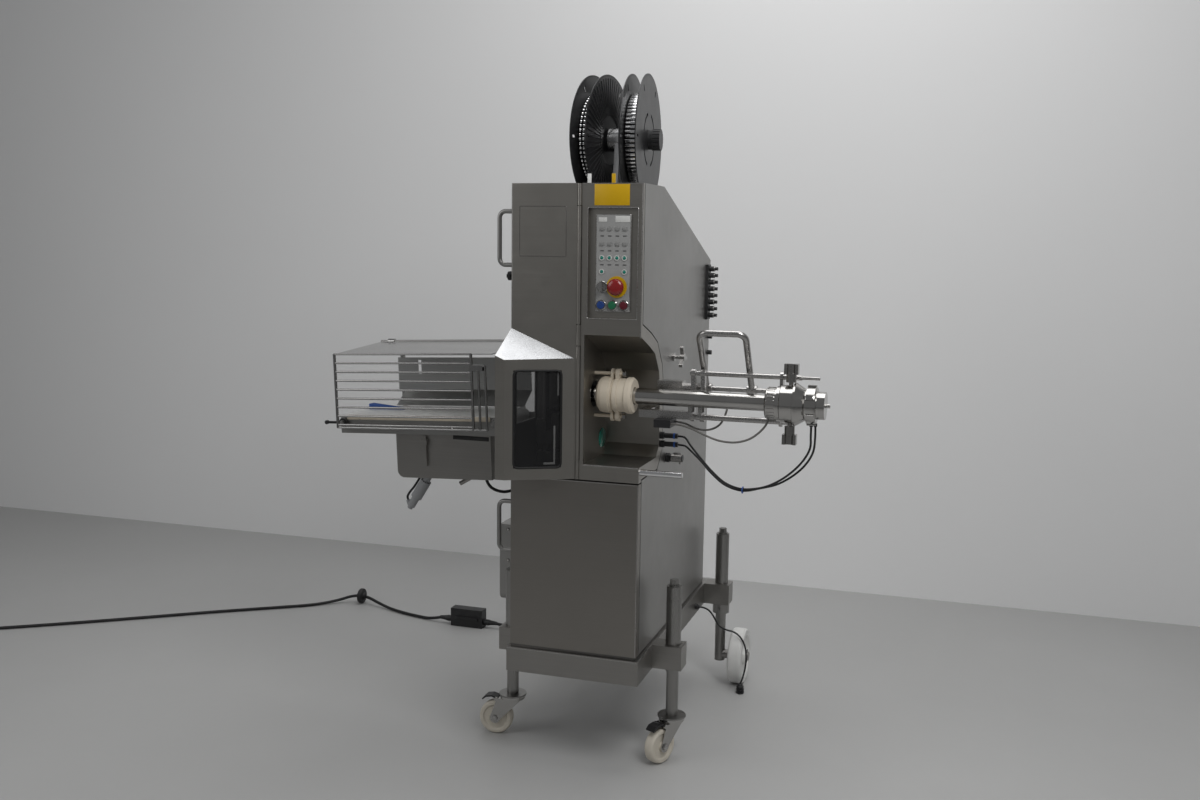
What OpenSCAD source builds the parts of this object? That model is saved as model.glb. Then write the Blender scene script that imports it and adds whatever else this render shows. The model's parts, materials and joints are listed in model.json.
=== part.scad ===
// Floor-standing automatic double clipper with filling horn and discharge conveyor.
// X runs from the conveyor to the filling horn, Y runs away from the operator, Z is up.
// Places are written from the cabinet's front left corner on the floor and moved to the origin at the end.

/* [Cabinet] */
// Width of the cabinet
cab_w = 380; // [370:1:400]
// Depth of the cabinet
cab_d = 840; // [800:1:880]
// Height of the cabinet top above the floor
cab_top = 1680; // [1660:1:1720]
// Thickness of the sheet metal
sheet = 3; // [2:0.5:4]
// Depth of the flat part of the top, in front of the rear slope
top_flat = 216; // [190:1:240]
// Height that the rear slope loses
rear_drop = 214; // [180:1:230]
// Depth of the folded front panels
panel_depth = 28; // [24:1:32]
// Open joint between panels
panel_gap = 4; // [2:0.5:6]
// Height of the joint between the lower front panel and the upper front
split_z = 857; // [845:1:870]
// Distance of the door's hinge line from the left side
hinge_x = 200; // [196:1:204]
// Diameter of the hinge knuckles
knuckle_d = 12; // [10:0.5:14]
// Width of the trim strip on the right edge of the front
trim_w = 14; // [10:1:20]
// Open joint around the right side cover
seal_gap = 4; // [3:0.5:6]
// Diameter of the grab handle tubes
grab_d = 13; // [10:0.5:16]
// Reach of the grab handles from the left side
grab_reach = 62; // [50:1:70]

/* [Base and legs] */
// Underside of the base frame above the floor
beam_bot = 278; // [260:1:300]
// Height of the frame beams
beam_h = 72; // [60:1:80]
// Width of the frame beams
beam_w = 50; // [40:1:60]
// Distance that the frame stands proud of the cabinet
beam_proud = 9; // [5:1:15]
// Height of the seat strip between frame and cabinet
seat_h = 8; // [4:1:12]
// Distance of a leg's axis from the cabinet side
leg_out = 64; // [56:1:72]
// Place of the front leg axes
leg_front_y = 180; // [160:1:200]
// Place of the rear leg axes
leg_rear_y = 857; // [840:1:880]
// Outside diameter of the outer leg tubes
leg_d = 45; // [42:0.5:48]
// Diameter of the inner legs
inner_d = 36; // [33:0.5:38]
// Height of the top of the outer leg tubes
leg_top = 526; // [500:1:560]
// Width of the leg sockets
socket_w = 66; // [60:1:76]

/* [Wheels] */
// Diameter of the front caster wheels
caster_d = 105; // [95:1:110]
// Width of the front caster wheels
caster_w = 32; // [26:1:38]
// Height of a front caster
caster_h = 133; // [130:1:145]
// Trail of a front caster
trail = 52; // [44:1:58]
// Swivel angle of the right front caster
swivel_right = 243; // [180:1:300]
// Swivel angle of the left front caster
swivel_left = 185; // [150:1:240]
// Diameter of the rear wheels
rear_wheel_d = 190; // [170:1:200]
// Width of the rear wheels
rear_wheel_w = 48; // [40:1:54]
// Distance of a rear wheel's middle from its leg
rear_wheel_out = 68; // [60:1:80]

/* [Door window] */
// Distance that the window box stands in front of the door
box_out = 90; // [80:1:100]
// Right end of the window box on the door
box_right = 188; // [180:1:189]
// Height of the window box top at its right end
box_top = 1200; // [1180:1:1215]
// Extra height of the window box top at the left edge
box_rise = 78; // [60:1:90]
// Width of the window along the slanted face
window_w = 135; // [110:1:145]
// Height of the window
window_h = 275; // [240:1:290]

/* [Controls] */
// Width of the control recess
ctrl_w = 146; // [136:1:150]
// Height of the control recess
ctrl_h = 301; // [290:1:310]
// Height of the control recess floor
ctrl_z = 1313; // [1305:1:1325]
// Depth of the control recess
ctrl_deep = 12; // [8:1:16]
// Width of the control plate
plate_w = 98; // [92:1:110]
// Height of the control plate
plate_h = 263; // [255:1:275]
// Diameter of the emergency stop head
estop_d = 46; // [38:1:50]
// Diameter of the push buttons
button_d = 22; // [18:0.5:24]

/* [Working recess] */
// Left wall of the working recess
recess_x = 217; // [214:1:225]
// Height of the recess floor
recess_floor = 903; // [896:1:915]
// Height of the recess opening's top edge
recess_top = 1267; // [1255:1:1280]
// Depth of the recess
recess_deep = 212; // [200:1:230]
// Width of the trim band round the recess on the right side
band_w = 36; // [28:1:38]
// Diameter of the stop bar at the recess's lower corner
stop_bar_d = 17; // [14:1:20]
// Length of the stop bar outside the cabinet
stop_bar_len = 121; // [100:1:140]

/* [Horn] */
// Distance of the horn axis behind the front
horn_y = 100; // [95:1:105]
// Height of the horn axis
horn_z = 1091; // [1085:1:1098]
// Outside diameter of the filling horn
horn_d = 46; // [38:0.5:48]
// Wall of the filling horn
horn_wall = 2.5; // [1.5:0.5:4]
// Right end of the horn at its union ring
horn_end = 711; // [700:1:730]
// Length of the horn from its tip to the union ring
horn_len = 526; // [515:1:530]
// Travel of the horn along its guide rods
horn_travel = 30; // [20:1:30]
// Diameter of the casing brake body
brake_d = 104; // [96:1:110]
// Length of the casing brake
brake_len = 104; // [96:1:108]
// Diameter of the union ring
union_d = 87; // [80:1:92]
// Diameter of the coupling body
coupling_d = 104; // [98:1:106]
// Diameter of the upper guide rod
upper_rod_d = 14; // [12:0.5:16]
// Diameter of the lower guide rod
lower_rod_d = 16; // [12:0.5:16]
// Diameter of the pull handle's rod
pull_rod_d = 14; // [12:0.5:16]
// Diameter of the pull handle's tube
pull_tube_d = 18; // [14:0.5:20]

/* [Clip spools] */
// Diameter of the spool flanges
spool_d = 390; // [360:1:400]
// Width of a spool over its flanges
spool_w = 51; // [44:1:54]
// Height of the spool axis
spool_z = 1830; // [1826:1:1850]
// Distance of the spool axis behind the front
spool_y = 430; // [425:1:440]
// Distance of each spool's middle from the post
spool_out = 62; // [60:1:68]
// Angle that each spool is toed out towards the operator
spool_toe = 4; // [0:0.5:6]
// Diameter of the wound clips
clip_coil_d = 278; // [240:1:300]
// Number of bar clips in a turn
bar_clips = 64; // [48:1:72]

/* [Conveyor] */
// Height of the belt at the cabinet's left side
belt_z = 1025; // [1020:1:1030]
// Fall of the conveyor towards its left end
conv_tilt = 2.4; // [0:0.1:4]
// Length of the conveyor
conv_len = 548; // [520:1:580]
// Width of the belt
belt_w = 220; // [200:1:230]
// Diameter of the belt rollers
roller_d = 40; // [34:1:44]
// Depth of the wire guard
guard_deep = 300; // [290:1:320]
// Height of the wire guard above the belt
guard_h = 183; // [170:1:200]
// Diameter of the guard wires
wire_d = 6; // [4:0.5:7]
// Spacing of the guard wires
wire_pitch = 26; // [24:0.5:30]
// Depth of the drive housing below the conveyor frame
housing_h = 130; // [110:1:140]
// Length of the drive housing
housing_len = 300; // [270:1:320]

/* [Closing tools] */
// Travel of each closing tool
tool_travel = 40; // [30:1:45]
// Diameter of the guide columns
column_d = 20; // [16:0.5:24]
// Distance between the guide columns
column_gap = 110; // [100:1:120]

/* [Cords] */
// Diameter of the mains cord
mains_d = 12; // [10:0.5:13]
// Diameter of the sensor cables
cable_d = 6; // [5:0.5:7]
// Diameter of the air hoses
hose_d = 6; // [5:0.5:7]

/* [Hidden] */
$fn = 48;

// Running gap of a pin in its bore, and gap of a slide or a loose neighbour
run_gap = 0.05;
slip = 0.3;

// Finishes
steel = "#8d8a85";
bright = "#c9c9c9";
cream = "#e9dfc9";
black = "#1d1d1f";
white = "#f1efe8";

// Cabinet heights and the slope of its rear top
cab_bot = beam_bot + beam_h + seat_h;
slope = atan2(rear_drop, cab_d - top_flat);
door_edge = hinge_x - knuckle_d / 2 - 1;
frame_edge = hinge_x + knuckle_d / 2 + 1;
upper_bot = split_z + panel_gap / 2;
lower_top = split_z - panel_gap / 2;
shell_right = cab_w - sheet;
inner_depth = cab_d - panel_depth;

// Legs and frame
leg_x = cab_w + leg_out;
frame_end = leg_rear_y + socket_w / 2;
leg_cap = 6;
socket_bot = beam_bot + 2;
front_tube_bot = beam_bot - 8;
rear_tube_bot = beam_bot - 33;
rear_leg_bot = rear_wheel_d / 2 - 22;
inner_top = leg_top - leg_cap - 60;
axle_d = 12;
rear_axle_d = 20;
swivel_t = 5;
head_h = 12;
head_top = caster_h - swivel_t - slip;
fork_t = 3;
fork_gap = 3;
cheek_y = caster_w / 2 + fork_gap;

// Controls
ctrl_x = cab_w - ctrl_w - 10;
plate_x = ctrl_x + (ctrl_w - plate_w) / 2 - 2;
plate_z = ctrl_z + 20;
plate_t = 4;
plate_front = ctrl_deep - plate_t;
estop_x = plate_x + plate_w * 0.62;
estop_z = plate_z + 67;
selector_x = plate_x + plate_w * 0.2;
button_z = plate_z + 17;
button_step = plate_w / 3;
stem_d = 12;
estop_stem_d = 22;
stem_back = ctrl_deep + 20;

// Horn group
tip_x = horn_end - horn_len;
brake_x = recess_x + 15;
union_len = 35;
flange_x = horn_end + union_len - 4;
flange_t = 10;
body_x = flange_x + flange_t;
body_len = 36;
cone_len = 32;
nut_len = 30;
spigot_len = 22;
spigot_d = 76;
pin_len = 12;
cone_x = body_x + body_len;
nut_x = cone_x + cone_len;
spigot_x = nut_x + nut_len;
pin_tip = spigot_x + spigot_len + pin_len;
sensor_z = horn_z - coupling_d / 2 - 7.2;
knob_x = body_x + body_len * 0.7;
rod_y = horn_y + 35;
upper_rod_z = horn_z + 69;
lower_rod_z = horn_z - 55;
pull_y = horn_y + 100;
pull_z = horn_z + 20;
guide_x = horn_end - 219;
guide_step = 28;
guide_t = 12;
arm_end = guide_x;
lower_rod_end = flange_x + flange_t + horn_travel + 2;
upper_rod_end = lower_rod_end + 18;
pull_rod_x = cab_w + 20;

// Spools
hub_d = 74;
post_x = cab_w / 2 - 7;
core_d = 120;
flange_t_spool = 3;
spool_axle_d = 24;
hub_half = spool_out - spool_w / 2 - 4;

// Conveyor, in its own tilted frame with the belt top at z = 0 and the horn axis at y = 0
belt_t = 2;
roller_r = roller_d / 2;
roller_z = -belt_t - roller_r;
conv_right = -24;
drive_x = conv_right - roller_r - belt_t - 2;
idler_x = -conv_len + roller_r + belt_t;
rail_y = belt_w / 2 + 3;
rail_t = 4;
rail_bot = roller_z - roller_r - 12;
rail_end = rail_bot * tan(conv_tilt);
journal_d = 16;
guard_y = -guard_deep / 2;
guard_left = -conv_len + 18;
guard_right = -95;
pivot_z = guard_h + 15;
pivot_d = 10;
lever_x = idler_x;
lever_len = 56;
lever_tip_r = 6;
lever_t = 12;
wire_rows = 9;
housing_right = -62;

// Closing tools behind the door
tool_x = hinge_x / 2 + 4;
column_y = horn_y + 52;
tool_plate_y = column_y + 34;
punch_gap = 60;

// The origin: middle of the footprint on the floor, cords left out
lever_tip_x = (lever_x - lever_len) * cos(conv_tilt) - roller_z * sin(conv_tilt) - lever_tip_r;
origin_x = (lever_tip_x + pin_tip) / 2;
origin_y = (leg_rear_y + rear_wheel_d / 2 - box_out) / 2;

// Cord routes, from the cabinet's front left corner on the floor
inlet_route = [
    [70, 866.3, 395], [70, 900, 395], [68, 950, 372], [62, 990, 315], [52, 1018, 235], [36, 1040, 155],
    [8, 1058, 84], [-40, 1072, 34], [-105, 1080, 10], [-200, 1086, 7], [-320, 1090, 7], [-420, 1090, 9],
    [-476, 1090, 18], [-512, 1090, 22], [-535.7, 1090, 22]
];
mains_route = [
    [-712.3, 1090, 22], [-736, 1090, 22], [-766, 1093, 15], [-806, 1099, 8], [-860, 1110, 7],
    [-930, 1129, 7], [-1010, 1158, 9], [-1077, 1184, 18], [-1125, 1199, 28], [-1164, 1205, 32], [-1205, 1197, 28], [-1252, 1170, 15],
    [-1300, 1128, 8], [-1350, 1082, 7], [-1424, 1030, 7], [-1540, 952, 7], [-1656, 873, 7], [-1872, 716, 7],
    [-2088, 562, 7], [-2302, 418, 7], [-2366, 379, 7], [-2407.4, 369.6, 7]
];
disc_at = mains_route[9];
coil_at = [-2440, 280, 0];
coil_turn_d = 140;
coil_w = 40;
cable_front_route = [
    [nut_x + 15, horn_y, sensor_z - slip], [835, 100, 1006], [834.5, 99, 974], [817, 97, 938], [778, 96, 896],
    [730, 98, 864],
    [690, 102, 850], [645, 108, 845], [600, 114, 857], [560, 121, 886], [524, 130, 920], [490, 150, 950],
    [466, 192, 962], [449, 222, 962], [432.8, 227, 962]
];
cable_rear_route = [
    [nut_x + 25.5, horn_y + 7, sensor_z - slip], [846, 107, 1004], [842, 106, 962], [822, 105, 925], [790, 105, 893], [748, 107, 866],
    [700, 111, 850], [650, 117, 838], [600, 124, 848], [558, 133, 876], [522, 144, 909], [490, 160, 932],
    [466, 196, 938], [449, 226, 936], [432.8, 231, 936]
];
hose_front_route = [
    [444.3, 97, 1017], [470, 97, 1016], [505, 92, 1008], [545, 90, 992], [585, 88, 980], [630, 88, 978],
    [668, 90, 989], [694, 93, 1008], [712, 97, 1030], [718, 100, 1046.2]
];
hose_rear_route = [
    [444.3, 151, 1017], [470, 152, 1013], [505, 160, 998], [540, 164, 997], [568, 168, 1012], [583, 173, 1042],
    [589, 183, 1074], [590, 195, 1102.5]
];
lead_route = [
    [-338, 100, 826.6], [-337.3, 100, 809], [-348, 100, 790], [-359, 100, 774], [-370, 100, 761], [-378, 100, 749],
    [-380, 100, 742], [-377.6, 100, 734.1]
];
drain_route = [
    [-120, 100, 835.5], [-119.4, 100, 821], [-115, 101, 806], [-104, 103, 792], [-86, 108, 783], [-66, 114, 780],
    [-46, 121, 784], [-30, 128, 790], [-15, 133, 794.5], [-0.4, 133.5, 795]
];
floor_route = [
    [404, 700, 304], [416, 701, 303], [432, 708, 294], [444, 724, 273], [452, 746, 245], [462, 771, 219],
    [480, 792, 203], [504, 799, 196], [528, 795, 181], [545, 788, 155], [552, 780, 122], [552, 771, 86], [547, 760, 55],
    [541, 752, 32]
];
lead_d = 7;
drain_d = 9;

// Moves a sub-part from the cabinet's corner to the origin
module placed() translate([-origin_x, -origin_y, 0]) children();

// Mirrors a sub-part to the cabinet's left side
module left_side() translate([cab_w, 0, 0]) mirror([1, 0, 0]) children();

// Puts a part that is drawn along z on the horn axis
module on_horn(x) translate([x, horn_y, horn_z]) rotate([0, 90, 0]) children();

// The conveyor's tilted frame
module on_conveyor() translate([0, horn_y, belt_z]) rotate([0, -conv_tilt, 0]) children();

// A box between two corners
module box_at(lo, hi) translate(lo) cube(hi - lo);

// A round bar along x, y or z
module bar_x(x0, x1, y, z, d) translate([x0, y, z]) rotate([0, 90, 0]) cylinder(d = d, h = x1 - x0);
module bar_y(y0, y1, x, z, d) translate([x, y1, z]) rotate([90, 0, 0]) cylinder(d = d, h = y1 - y0);
module bar_z(z0, z1, x, y, d) translate([x, y, z0]) cylinder(d = d, h = z1 - z0);

// A side view drawn in y and z, extruded along x
module along_x(x0, x1) translate([x0, 0, 0]) rotate([90, 0, 90]) linear_extrude(x1 - x0) children();

// A front view drawn in x and z, extruded along y
module along_y(y0, y1) translate([0, y1, 0]) rotate([90, 0, 0]) linear_extrude(y1 - y0) children();

// A folded panel with returns towards the back
module tray(lo, hi) difference() {
    box_at(lo, hi);
    box_at([lo[0] + sheet, lo[1] + sheet, lo[2] + sheet], [hi[0] - sheet, hi[1] + 1, hi[2] - sheet]);
}

// A bent tube: straight, quarter turn, straight, in the plane of x and z
module grab_handle(z0, z1) {
    bend = grab_d * 1.4;
    for (z = [z0 + grab_d / 2, z1 - grab_d / 2]) bar_x(bend - grab_reach, 0, 0, z, grab_d);
    bar_z(z0 + grab_d / 2 + bend, z1 - grab_d / 2 - bend, -grab_reach, 0, grab_d);
    for (end = [0, 1]) {
        translate([bend - grab_reach, 0, end == 0 ? z0 + grab_d / 2 + bend : z1 - grab_d / 2 - bend])
            rotate([90, 0, 0])
            rotate([0, 0, end == 0 ? 180 : 90])
            rotate_extrude(angle = 90) translate([bend, 0]) circle(d = grab_d);
    }
}

// Side view of the cabinet from depth y0, drawn g inside the outline
function side_pts(y0, g) = [
    [y0, cab_bot + g],
    [cab_d - g, cab_bot + g],
    [cab_d - g, cab_top - rear_drop + g * tan(slope) - g / cos(slope)],
    [top_flat + (g - g / cos(slope)) / tan(slope), cab_top - g],
    [y0, cab_top - g]
];

// Side view of the working recess from depth y0, drawn g outside the outline
function recess_pts(y0, g) = [
    [y0, recess_floor - g],
    [recess_deep - 30 + g * 0.4, recess_floor - g],
    [recess_deep + g, recess_floor + 32 - g * 0.4],
    [recess_deep + g, recess_top - 165 + g * 0.2],
    [recess_deep - 16 + g * 0.9, recess_top - 112 + g * 0.45],
    [recess_deep - 62 + g * 0.65, recess_top - 58 + g * 0.8],
    [recess_deep - 120 + g * 0.45, recess_top - 34 + g * 0.95],
    [y0, recess_top + g]
];

// One tube of 8 sides along a hand-drawn route
function unit(v) = v / norm(v);
function heading(p, i) = unit(p[min(i + 1, len(p) - 1)] - p[max(i - 1, 0)]);
function ring_at(p, i, d, n, aside) =
    let (h = heading(p, i), u = unit(cross(h, aside)), v = cross(h, u))
    [for (k = [0:n - 1]) p[i] + d / 2 * (cos(360 * k / n) * u + sin(360 * k / n) * v)];
module cord_tube(p, d, aside = [0, 1, 0], n = 8) {
    m = len(p);
    points = [for (i = [0:m - 1]) each ring_at(p, i, d, n, aside)];
    walls = [for (i = [0:m - 2], k = [0:n - 1])
        [i * n + k, (i + 1) * n + k, (i + 1) * n + (k + 1) % n, i * n + (k + 1) % n]];
    ends = [[for (k = [0:n - 1]) k], [for (k = [n - 1:-1:0]) (m - 1) * n + k]];
    polyhedron(points, concat(walls, ends));
}

// Base frame, legs and wheels
module leg_socket(y) {
    box_at(
        [cab_w + beam_proud - 1, y - socket_w / 2, socket_bot],
        [leg_x + socket_w / 2, y + socket_w / 2, beam_bot + beam_h]
    );
}
module leg_bore(y) bar_z(beam_bot - 1, beam_bot + beam_h + 1, leg_x, y, leg_d + 2 * run_gap);
module base_frame() color(steel) placed() difference() {
    union() {
        box_at([-beam_proud, -beam_proud, beam_bot], [cab_w + beam_proud, frame_end, beam_bot + beam_h]);
        box_at([sheet, sheet, beam_bot + beam_h - 1], [cab_w - sheet, cab_d - sheet, cab_bot]);
        for (y = [leg_front_y, leg_rear_y]) {
            leg_socket(y);
            left_side() leg_socket(y);
        }
    }
    box_at(
        [beam_w - beam_proud, beam_w - beam_proud, beam_bot - 1],
        [cab_w + beam_proud - beam_w, frame_end - beam_w, cab_bot + 1]
    );
    for (y = [leg_front_y, leg_rear_y]) {
        leg_bore(y);
        left_side() leg_bore(y);
    }
}

module spindle_head(y) {
    bar_z(leg_top - 1, leg_top + 4, leg_x, y, leg_d * 0.72);
    translate([leg_x, y, leg_top + 3]) cylinder(d = leg_d * 0.58, h = 16, $fn = 6);
}
module outer_leg(y, bottom) {
    difference() {
        bar_z(bottom, leg_top, leg_x, y, leg_d);
        bar_z(bottom - 1, leg_top - leg_cap, leg_x, y, inner_d + 2 * slip);
    }
    spindle_head(y);
}
module rear_leg() {
    outer_leg(leg_rear_y, rear_tube_bot);
    difference() {
        bar_z(rear_tube_bot, socket_bot - slip, leg_x, leg_rear_y, leg_d + 12);
        bar_z(rear_tube_bot - 1, socket_bot, leg_x, leg_rear_y, leg_d - 1);
    }
    bar_z(rear_leg_bot, inner_top, leg_x, leg_rear_y, inner_d);
    bar_y(leg_rear_y - leg_d / 2 - 16, leg_rear_y, leg_x, (rear_tube_bot + beam_bot) / 2, 9);
    hub_in = leg_x + rear_wheel_out - rear_wheel_w / 2 - 4;
    hub_out = leg_x + rear_wheel_out + rear_wheel_w / 2 + 4;
    bar_x(leg_x, hub_in - slip, leg_rear_y, rear_wheel_d / 2, rear_axle_d + 12);
    bar_x(leg_x, hub_out + 6, leg_rear_y, rear_wheel_d / 2, rear_axle_d);
    bar_x(hub_out + slip, hub_out + 7, leg_rear_y, rear_wheel_d / 2, rear_axle_d + 10);
}
module leg_tubes() color(bright) placed() {
    outer_leg(leg_front_y, front_tube_bot);
    rear_leg();
    left_side() {
        outer_leg(leg_front_y, front_tube_bot);
        rear_leg();
    }
}

module inner_leg() translate([leg_x, leg_front_y, 0]) {
    bar_z(caster_h - 1, inner_top, 0, 0, inner_d);
    bar_z(caster_h - swivel_t, caster_h, 0, 0, 84);
    bar_z(head_top - head_h - 6, caster_h - 1, 0, 0, axle_d);
}
module inner_leg_right() color(bright) placed() inner_leg();
module inner_leg_left() color(bright) placed() left_side() inner_leg();

// Caster parts are drawn with the swivel axis at the origin and the trail along x
module right_caster() translate([leg_x, leg_front_y, 0]) rotate([0, 0, swivel_right]) children();
module left_caster() translate([cab_w - leg_x, leg_front_y, 0]) rotate([0, 0, swivel_left]) children();
pedal_x = trail - 4;
pedal_z = caster_d + 8;
module fork_cheek() {
    low = caster_d / 2;
    high = head_top - head_h;
    along_y(cheek_y, cheek_y + fork_t) {
        polygon([[-26, high - 4], [-26, high], [46, high], [trail + 15, low + 4], [trail - 15, low - 4]]);
        translate([trail, low]) circle(d = 32);
    }
    along_y(cheek_y - 2, cheek_y + fork_t) translate([pedal_x, pedal_z]) circle(d = 13);
}
module caster_fork() {
    difference() {
        bar_z(head_top - head_h, head_top, 0, 0, 72);
        bar_z(head_top - head_h - 1, head_top + 1, 0, 0, axle_d + 2 * run_gap);
    }
    difference() {
        box_at(
            [-26, -cheek_y - fork_t, head_top - head_h - 4],
            [pedal_x - 7, cheek_y + fork_t, head_top - head_h + 1]
        );
        bar_z(head_top - head_h - 5, head_top + 1, 0, 0, axle_d + 2 * run_gap + 8);
    }
    fork_cheek();
    mirror([0, 1, 0]) fork_cheek();
    bar_y(-cheek_y - fork_t - 5, cheek_y + fork_t + 5, trail, caster_d / 2, axle_d);
    bar_y(-cheek_y - 1, cheek_y + 1, pedal_x, pedal_z, 5);
}
module caster_wheel() translate([trail, 0, caster_d / 2]) rotate([90, 0, 0]) rotate_extrude() {
    r = caster_d / 2;
    w = caster_w / 2;
    polygon([
        [axle_d / 2 + run_gap, -w - 2], [15, -w - 2], [17, -w + 3], [r - 17, -w + 4], [r - 12, -w], [r - 5, -w],
        [r - 1, -w + 4], [r, -w + 9], [r, w - 9], [r - 1, w - 4], [r - 5, w], [r - 12, w], [r - 17, w - 4],
        [17, w - 3], [15, w + 2], [axle_d / 2 + run_gap, w + 2]
    ]);
}
module brake_pedal() difference() {
    reach = cheek_y - 3;
    union() {
        bar_y(-reach, reach, pedal_x, pedal_z, 10);
        along_y(-reach, reach) polygon([
            [pedal_x + 2, pedal_z - 1], [pedal_x + 16, pedal_z + 5], [pedal_x + 34, pedal_z + 2],
            [pedal_x + 46, pedal_z - 7], [pedal_x + 48, pedal_z - 4], [pedal_x + 36, pedal_z + 7],
            [pedal_x + 16, pedal_z + 10], [pedal_x, pedal_z + 5]
        ]);
    }
    bar_y(-reach - 1, reach + 1, pedal_x, pedal_z, 5 + 2 * run_gap);
}
module caster_fork_right() color(bright) placed() right_caster() caster_fork();
module caster_fork_left() color(bright) placed() left_caster() caster_fork();
module caster_wheel_right() color(cream) placed() right_caster() caster_wheel();
module caster_wheel_left() color(cream) placed() left_caster() caster_wheel();
module brake_pedal_right() color(black) placed() right_caster() brake_pedal();
module brake_pedal_left() color(black) placed() left_caster() brake_pedal();

module rear_wheel() translate([leg_x + rear_wheel_out, leg_rear_y, rear_wheel_d / 2])
    rotate([0, 90, 0]) rotate_extrude() {
    r = rear_wheel_d / 2;
    w = rear_wheel_w / 2;
    bore = rear_axle_d / 2 + run_gap;
    polygon([
        [bore, -w - 4], [26, -w - 4], [30, -w + 8], [r - 30, -w + 10], [r - 22, -w], [r - 6, -w], [r - 1, -w + 5],
        [r, -w + 12], [r, w - 12], [r - 1, w - 5], [r - 6, w], [r - 22, w], [r - 30, w - 10], [30, w - 8],
        [26, w + 4], [bore, w + 4]
    ]);
}
module rear_wheel_right() color(cream) placed() rear_wheel();
module rear_wheel_left() color(cream) placed() left_side() rear_wheel();

// Cabinet
outlet_half = 92;
cover_in = 30;
cover_bot = cab_bot + 82;
cover_top = cab_top - rear_drop - 50;
module rear_panel() {
    box_at([cover_in, cab_d - 1, cover_bot], [cab_w - cover_in, cab_d + sheet, cover_top]);
    for (x = [cover_in + 18, cab_w - cover_in - 18], z = [cover_bot + 20, cover_top - 20]) {
        bar_y(cab_d, cab_d + sheet + 9, x, z, 22);
    }
    bar_y(cab_d - 1, cab_d + 26, inlet_route[0][0], inlet_route[0][2], 24);
}
module clip_guides() for (x = [post_x - 6, post_x + 66]) {
    box_at([x, top_flat - 80, cab_top - 1], [x + 8, top_flat - 76, cab_top + 34]);
}
module cabinet_shell() color(steel) placed() {
    difference() {
        along_x(0, shell_right) polygon(side_pts(panel_depth, 0));
        along_x(sheet, shell_right - sheet) polygon(side_pts(panel_depth - 1, sheet));
        along_x(shell_right - sheet - 1, shell_right + 1) polygon(side_pts(panel_depth - 1, 26));
        along_x(-1, sheet + 1) translate([horn_y + 10, horn_z])
            square([150, 2 * outlet_half], center = true);
        bar_x(-1, sheet + 1, latch_y, latch_z, latch_d + 2 * run_gap);
        for (x = [post_x - spool_out, post_x + spool_out]) {
            box_at([x - 14, top_flat + 70, cab_top - rear_drop], [x + 14, top_flat + 84, cab_top + 1]);
        }
    }
    rear_panel();
    clip_guides();
    translate([1, 60, 0]) grab_handle(cab_top - 233, cab_top - 69);
    translate([1, 60, 0]) grab_handle(split_z - 244, split_z - 85);
}

module lower_front_panel() color(steel) placed() tray([0, 0, cab_bot], [cab_w, panel_depth, lower_top]);

hinge_breaks = [upper_bot, upper_bot + 56, upper_bot + 376, upper_bot + 436, cab_top - 61, cab_top];
hinge_pin_d = 6;
knuckle_gap = 1;
module knuckle(i, web_x) {
    z0 = hinge_breaks[i] + knuckle_gap;
    z1 = hinge_breaks[i + 1] - knuckle_gap;
    bar_z(z0, z1, hinge_x, 0, knuckle_d);
    box_at([min(hinge_x, web_x), 0, z0], [max(hinge_x, web_x), sheet, z1]);
}
function stem_holes() = concat(
    [[estop_x, estop_z, estop_stem_d], [selector_x, estop_z, stem_d]],
    [for (k = [0:2]) [plate_x + button_step * (k + 0.5), button_z, stem_d]]
);
module front_frame() color(steel) placed() {
    difference() {
        union() {
            difference() {
                tray([frame_edge, 0, upper_bot], [cab_w, panel_depth, cab_top]);
                box_at([shell_right - 1, trim_w, recess_floor], [cab_w + 1, panel_depth + 1, cab_top + 1]);
            }
            along_x(recess_x - sheet, cab_w) polygon(recess_pts(0, sheet));
            along_x(shell_right, cab_w) polygon(recess_pts(0, band_w));
            box_at([ctrl_x - sheet, 0, ctrl_z - sheet], [ctrl_x + ctrl_w, ctrl_deep + sheet, ctrl_z + ctrl_h + sheet]);
        }
        along_x(recess_x, cab_w + 1) polygon(recess_pts(-1, 0));
        box_at([ctrl_x, -1, ctrl_z], [ctrl_x + ctrl_w - sheet, ctrl_deep, ctrl_z + ctrl_h]);
        on_horn(recess_x - sheet - 1) cylinder(d = horn_d + 30, h = sheet + 2);
        for (h = stem_holes()) bar_y(ctrl_deep - 1, ctrl_deep + sheet + 1, h[0], h[1], h[2] + 1);
        bar_z(upper_bot - 1, cab_top + 1, hinge_x, 0, hinge_pin_d + 2 * run_gap);
    }
    difference() {
        for (i = [0, 2, 4]) knuckle(i, frame_edge + 1);
        bar_z(upper_bot - 1, cab_top + 1, hinge_x, 0, hinge_pin_d - 1);
    }
    bar_z(upper_bot + knuckle_gap, cab_top - knuckle_gap, hinge_x, 0, hinge_pin_d);
    bar_x(cab_w - sheet, cab_w + stop_bar_len, stop_bar_d / 2 + 3, recess_floor - stop_bar_d / 2 - 5, stop_bar_d);
}

star_y = recess_deep + 150;
star_z = horn_z + 90;
module side_cover() color(steel) placed() along_x(shell_right + run_gap, cab_w) difference() {
    polygon(side_pts(0, 0));
    polygon(recess_pts(-1, band_w + seal_gap));
    translate([-1, split_z]) square([trim_w + seal_gap + 1, cab_top]);
    translate([-1, 0]) square([panel_depth + seal_gap + 1, recess_floor]);
    translate([star_y, star_z]) circle(d = stem_d + 2 * run_gap);
}

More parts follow.
